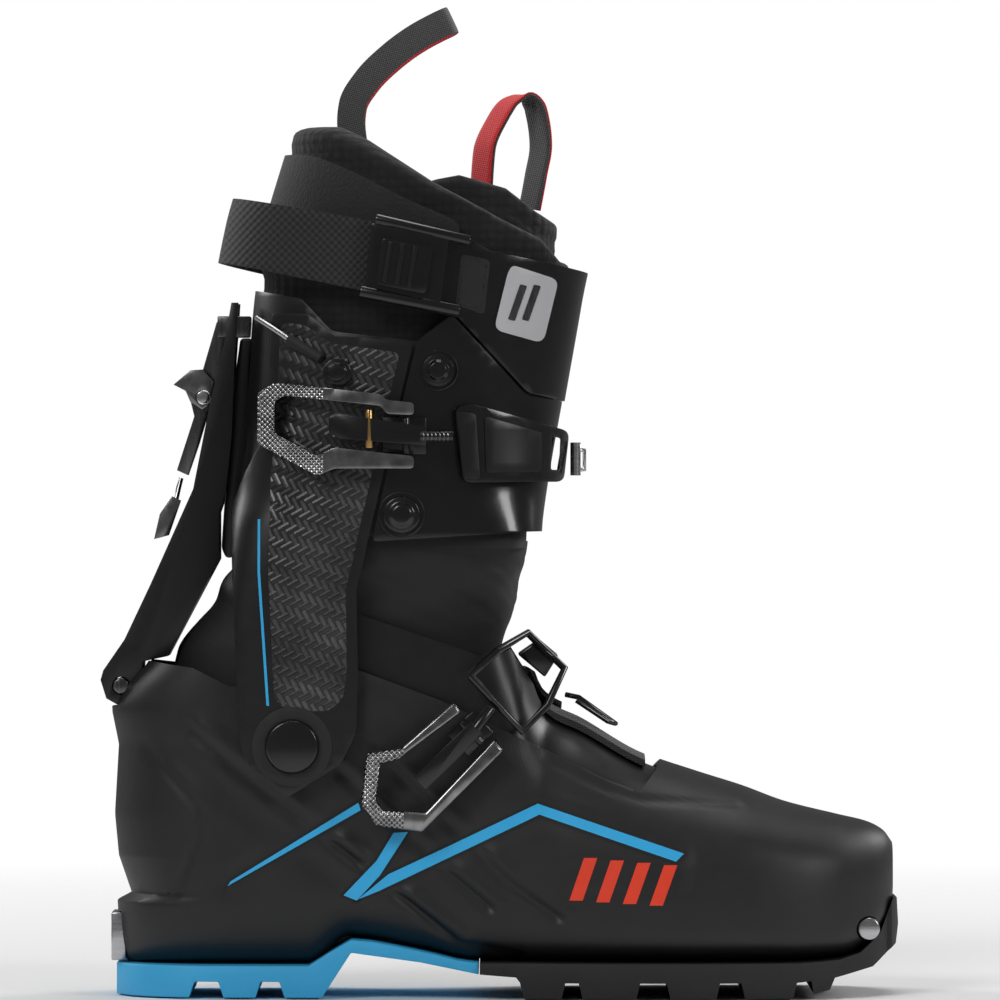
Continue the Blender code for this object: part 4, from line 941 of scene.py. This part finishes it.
def padded_wall(name, turns, closed, low, top, outer, inner, swell):
    """A foam wall round the leg with a rolled top edge; swell(x, z, below) adds to its outer face."""
    loops = []
    thick = outer - inner
    for t in turns:
        peak = 300.0
        for _ in range(3):
            peak = float(curve_at(top, wall_point(t, peak, outer)[0]))
        crest = peak - thick / 2
        loop = []
        for z in np.linspace(low, crest, 46):
            point = wall_point(t, z, outer)
            loop.append(wall_point(t, z, outer + swell(point[0], z, peak - z)))
        for a in np.linspace(0, math.pi, 9)[1:-1]:
            z = crest + math.sin(a) * thick / 2
            proud = swell(point[0], z, 3.0) if a < 1.5 else 0
            grow = (outer + inner) / 2 + math.cos(a) * (thick / 2 + proud)
            loop.append(wall_point(t, z, grow))
        for z in np.linspace(crest, low, 30):
            loop.append(wall_point(t, z, inner))
        loops.append(loop)
    bm = bmesh.new()
    rows = [[bm.verts.new(Vector(p) * MM) for p in loop] for loop in loops]
    skin(bm, zip(rows, rows[1:] + (rows[:1] if closed else [])))
    if not closed:
        bmesh.ops.triangulate(bm, faces=[bm.faces.new(rows[0]), bm.faces.new(rows[-1])])
    return soften(new_object(name, bm), 0.0, angle=60)


def liner_swell(x, z, below):
    """The foam stands out where no shell covers it, with a sewn channel under the rim."""
    cover = 291.5 if x > -44 else np.interp(x, (-90, -60, -44), (268.0, 268.0, 285.0))
    free = float(np.clip((z - cover - 2.0) / 8.0, 0, 1))
    seam = math.exp(-((below - 9.5) / 1.1) ** 2)
    ripple = 0.3 * math.sin(z / 3.1 + x / 7.0)
    return free * (3.4 + ripple - 1.5 * seam)


def liners():
    turns = directions(160)
    liner = padded_wall("liner_cuff", turns, True, 172.3, LINER_TOP, LINER_OUT, LINER_IN, liner_swell)
    dress(liner, "liner", "cuff", ["cuff_liner"])
    tongue = padded_wall("liner_tongue_pad", np.linspace(-1.62, 1.62, 90), False, 216.0, TONGUE_TOP,
                         -13.3, -18.1, lambda x, z, below: -0.7 * math.exp(-((below - 8.0) / 1.2) ** 2))
    dress(tongue, "liner", "cuff", ["liner_tongue"])
    sock = link("foot_padding", frame["nodes"]["foot_liner"].data.copy())
    even = sock.modifiers.new("even", "REMESH")
    even.mode, even.voxel_size = "VOXEL", 2.2 * MM
    calm = sock.modifiers.new("calm", "SMOOTH")
    calm.factor, calm.iterations = 0.5, 10
    bpy.context.view_layer.update()
    apply(sock)
    soften(sock, 0.0, angle=70)
    sock.data.materials.clear()
    sock.data.materials.append(MATERIALS["lining"])
    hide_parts("foot_liner")
    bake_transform(sock)


def gaiter():
    """Stretch cloth between shell and cuff, with shallow slanting folds."""
    heights = np.linspace(112.3, 171.6, 64)
    t = directions(192)
    outer, inner = [], []
    for z in heights:
        room = np.interp(z, (112, 138, 150, 160, 168, 172), (0.0, 0.2, 1.6, 2.0, 0.5, 0.0))
        fold = (np.sin(3 * t + z / 5.2) ** 3 + 0.7 * np.sin(5 * t - z / 3.9 + 1.3)
                + 0.5 * np.sin(8 * t + z / 2.7 + 0.4) ** 3)
        swell = room * (0.45 + 0.42 * fold)[:, None]
        ring, wide = ankle_ring(z, 1.6, 192), ankle_ring(z, 2.6, 192)
        outer.append(ring + (wide - ring) * swell)
        ring, wide = ankle_ring(z, 0.6, 192), ankle_ring(z, 1.6, 192)
        inner.append(ring + (wide - ring) * swell)
    cloth = soften(grid_solid("gaiter_cloth", outer + inner[::-1], closed_ends=False), 0.0, angle=70)
    cloth.data.materials.clear()
    cloth.data.materials.append(MATERIALS["gaiter"])
    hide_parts("gaiter")
    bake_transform(cloth)


def smooth_path(points, count):
    """Points spread evenly in number along a smooth curve through the given ones."""
    points = np.array(points, float)
    reach = np.concatenate([[0], np.cumsum(np.linalg.norm(np.diff(points, axis=0), axis=1))])
    wanted = np.linspace(0, reach[-1], count)
    rows = [tuple([r, *p]) for r, p in zip(reach, points)]
    return np.array([[between(w, rows, c) for c in range(1, points.shape[1] + 1)] for w in wanted])


def tape(name, path, ways, width, low, high, mat, body, nodes=()):
    """A woven band from low to high over a path, its edges slightly rounded."""
    along = np.gradient(path, axis=0)
    rings = []
    for point, way, run in zip(path, ways, along):
        run = run / np.linalg.norm(run)
        way = way - run * np.dot(way, run)
        way /= np.linalg.norm(way)
        face = np.cross(run, way)
        mid, thick = (low + high) / 2, (high - low) / 2
        loop = []
        for a in directions(16):
            across, out = rounded_box(np.array([a]), 6.0)
            loop.append(point + way * across[0] * width / 2 + face * (mid + out[0] * thick))
        rings.append(loop)
    return dress(soften(grid_solid(name, rings), 0.0, angle=60), mat, body, nodes)


def loops():
    side = np.array([(-55.0, 318.0), (-56.6, 331.0), (-56.0, 337.0), (-50.6, 346.5), (-41.6, 355.5),
                     (-32.6, 362.2), (-24.0, 367.0), (-20.6, 368.6)])
    tip = side[-1]
    near = [(x, -8.5, z) for x, z in side[:-1]]
    bend = [(tip[0] + 2.0 * math.cos(a), 8.5 * math.sin(a), tip[1] + 1.0 * math.cos(a))
            for a in np.linspace(-math.pi / 2, math.pi / 2, 7)]
    run = np.gradient(side, axis=0)
    run /= np.linalg.norm(run, axis=1)[:, None]
    ways = [(-z, 0, x) for x, z in run[:-1]]
    ways = ways + [(-run[-1][1], 0, run[-1][0])] * 7 + ways[::-1]
    path = near + bend + [(x, -y, z) for x, y, z in near[::-1]]
    both = smooth_path(np.hstack([np.array(path), np.array(ways)]), 140)
    path, ways = both[:, :3], both[:, 3:]
    tape("rear_loop_grey", path, ways, 10.5, 0.0, 0.9, "grey_loop", "cuff", ["rear_pull_loop"])
    tape("rear_loop_red", path, ways, 10.1, -0.85, -0.05, "red_loop", "cuff")
    front = [(-7.4, -4.0, 300.0), (-6.0, -3.6, 320.0), (-1.0, -3.0, 332.0), (4.0, -2.4, 338.6),
             (9.0, -1.8, 340.6), (13.6, -1.2, 336.0), (15.6, -0.6, 322.0), (13.8, 0.0, 311.0),
             (11.4, 0.6, 298.0)]
    path = smooth_path(front, 90)
    ways = np.tile((0.5, -0.86, 0.0), (90, 1))
    tape("front_loop_grey", path, ways, 15.0, 0.0, 0.9, "grey_loop", "cuff", ["front_pull_loop"])
    tape("front_loop_red", path, ways, 14.6, -0.85, -0.05, "red_loop", "cuff")


STRAP_EDGE = ((-125.0, 281.2), (-30.0, 261.1), (-30.0, 288.2), (-125.0, 306.1))
PILE_EDGE = ((-90.0, 275.0), (-90.0, 318.8), (-70.0, 317.0), (-55.0, 310.5), (-36.0, 300.5), (-15.0, 291.5),
             (-15.0, 282.0), (-40.0, 275.0))
CAM_EDGE = ((-48.0, 291.0), (-19.0, 285.2), (-22.5, 259.0), (-51.0, 264.0))
CAM_FLAP = ((-44.0, 285.2), (-25.0, 281.4), (-27.6, 264.2), (-46.6, 268.0))


def strap_and_cam():
    cuff_plate("strap_band", STRAP_EDGE, 1.4, 3.5, "strap", ["power_strap"], side=0, edge=0.5, corner=0,
               rear_extra=STRAP_REAR)
    cuff_plate("pile_patch", PILE_EDGE, -4.6, -2.2, "velcro", edge=0.6, corner=5.0)
    cuff_plate("cam_body", CAM_EDGE, 4.4, 7.8, "gloss", ["cam_buckle"], edge=0.7, corner=1.5,
               rear_extra=STRAP_REAR)
    for name, a, b, radius in (("cam_top_bar", (-46.5, 292.4), (-11.0, 284.2), 2.1),
                               ("cam_low_bar", (-52.4, 265.4), (-15.0, 258.0), 2.5)):
        ends = [(x, surface_y(x, z, 7.2, -1, STRAP_REAR), z) for x, z in (a, b)]
        bar(name, ends[0], ends[1], radius, "gloss", "cuff")
    cuff_plate("cam_lever", CAM_FLAP, 8.2, 9.6, "gloss", ["cam_flap"], body="cam_flap_body", edge=0.5,
               corner=2.0, rear_extra=STRAP_REAR)
    for index in range(3):
        x, top, low = -41.5 + index * 4.6, 284.0 - index * 0.9, 268.9 - index
        rib = ((x, top), (x + 1.6, top - 0.3), (x - 0.9, low - 0.4), (x - 2.5, low))
        cuff_plate(f"cam_rib_{index}", rib, 9.3, 10.2, "satin", body="cam_flap_body", edge=0.2, corner=0.5,
                   rear_extra=STRAP_REAR)


def cuff_hem():
    """A soft band inside the cuff's lower edge that closes the gap to the gaiter."""
    heights = np.linspace(169.0, 178.0, 10)
    outer = [cuff_ring(z, -5.82, count=160) for z in heights]
    inner = [cuff_ring(z, -6.5, count=160) for z in heights]
    dress(soften(grid_solid("cuff_hem", outer + inner[::-1], closed_ends=False), 0.0), "gaiter", "cuff")


def spine_ridge():
    """The moulded ridge on the back of the cuff that lies between the strut's two legs."""
    outline = ((-105.8, 169.0), (-104.8, 184.0), (-103.4, 200.0), (-101.6, 225.0), (-99.8, 240.0),
               (-98.6, 248.6), (-94.0, 248.6), (-95.0, 240.0), (-97.0, 172.0), (-99.0, 166.0),
               (-104.0, 165.0))
    ridge = prism("ridge", rounded(outline, 1.5), -7.6, 7.6)
    dress(soften(ridge, 1.2), "satin", "cuff")


MATERIALS = make_materials()
set_stage()
for build in (lower_shell, stripes, foot_covers, hard_parts, cuff_hard, buckles, liners, gaiter, loops,
              strap_and_cam, cuff_hem, spine_ridge):
    build()
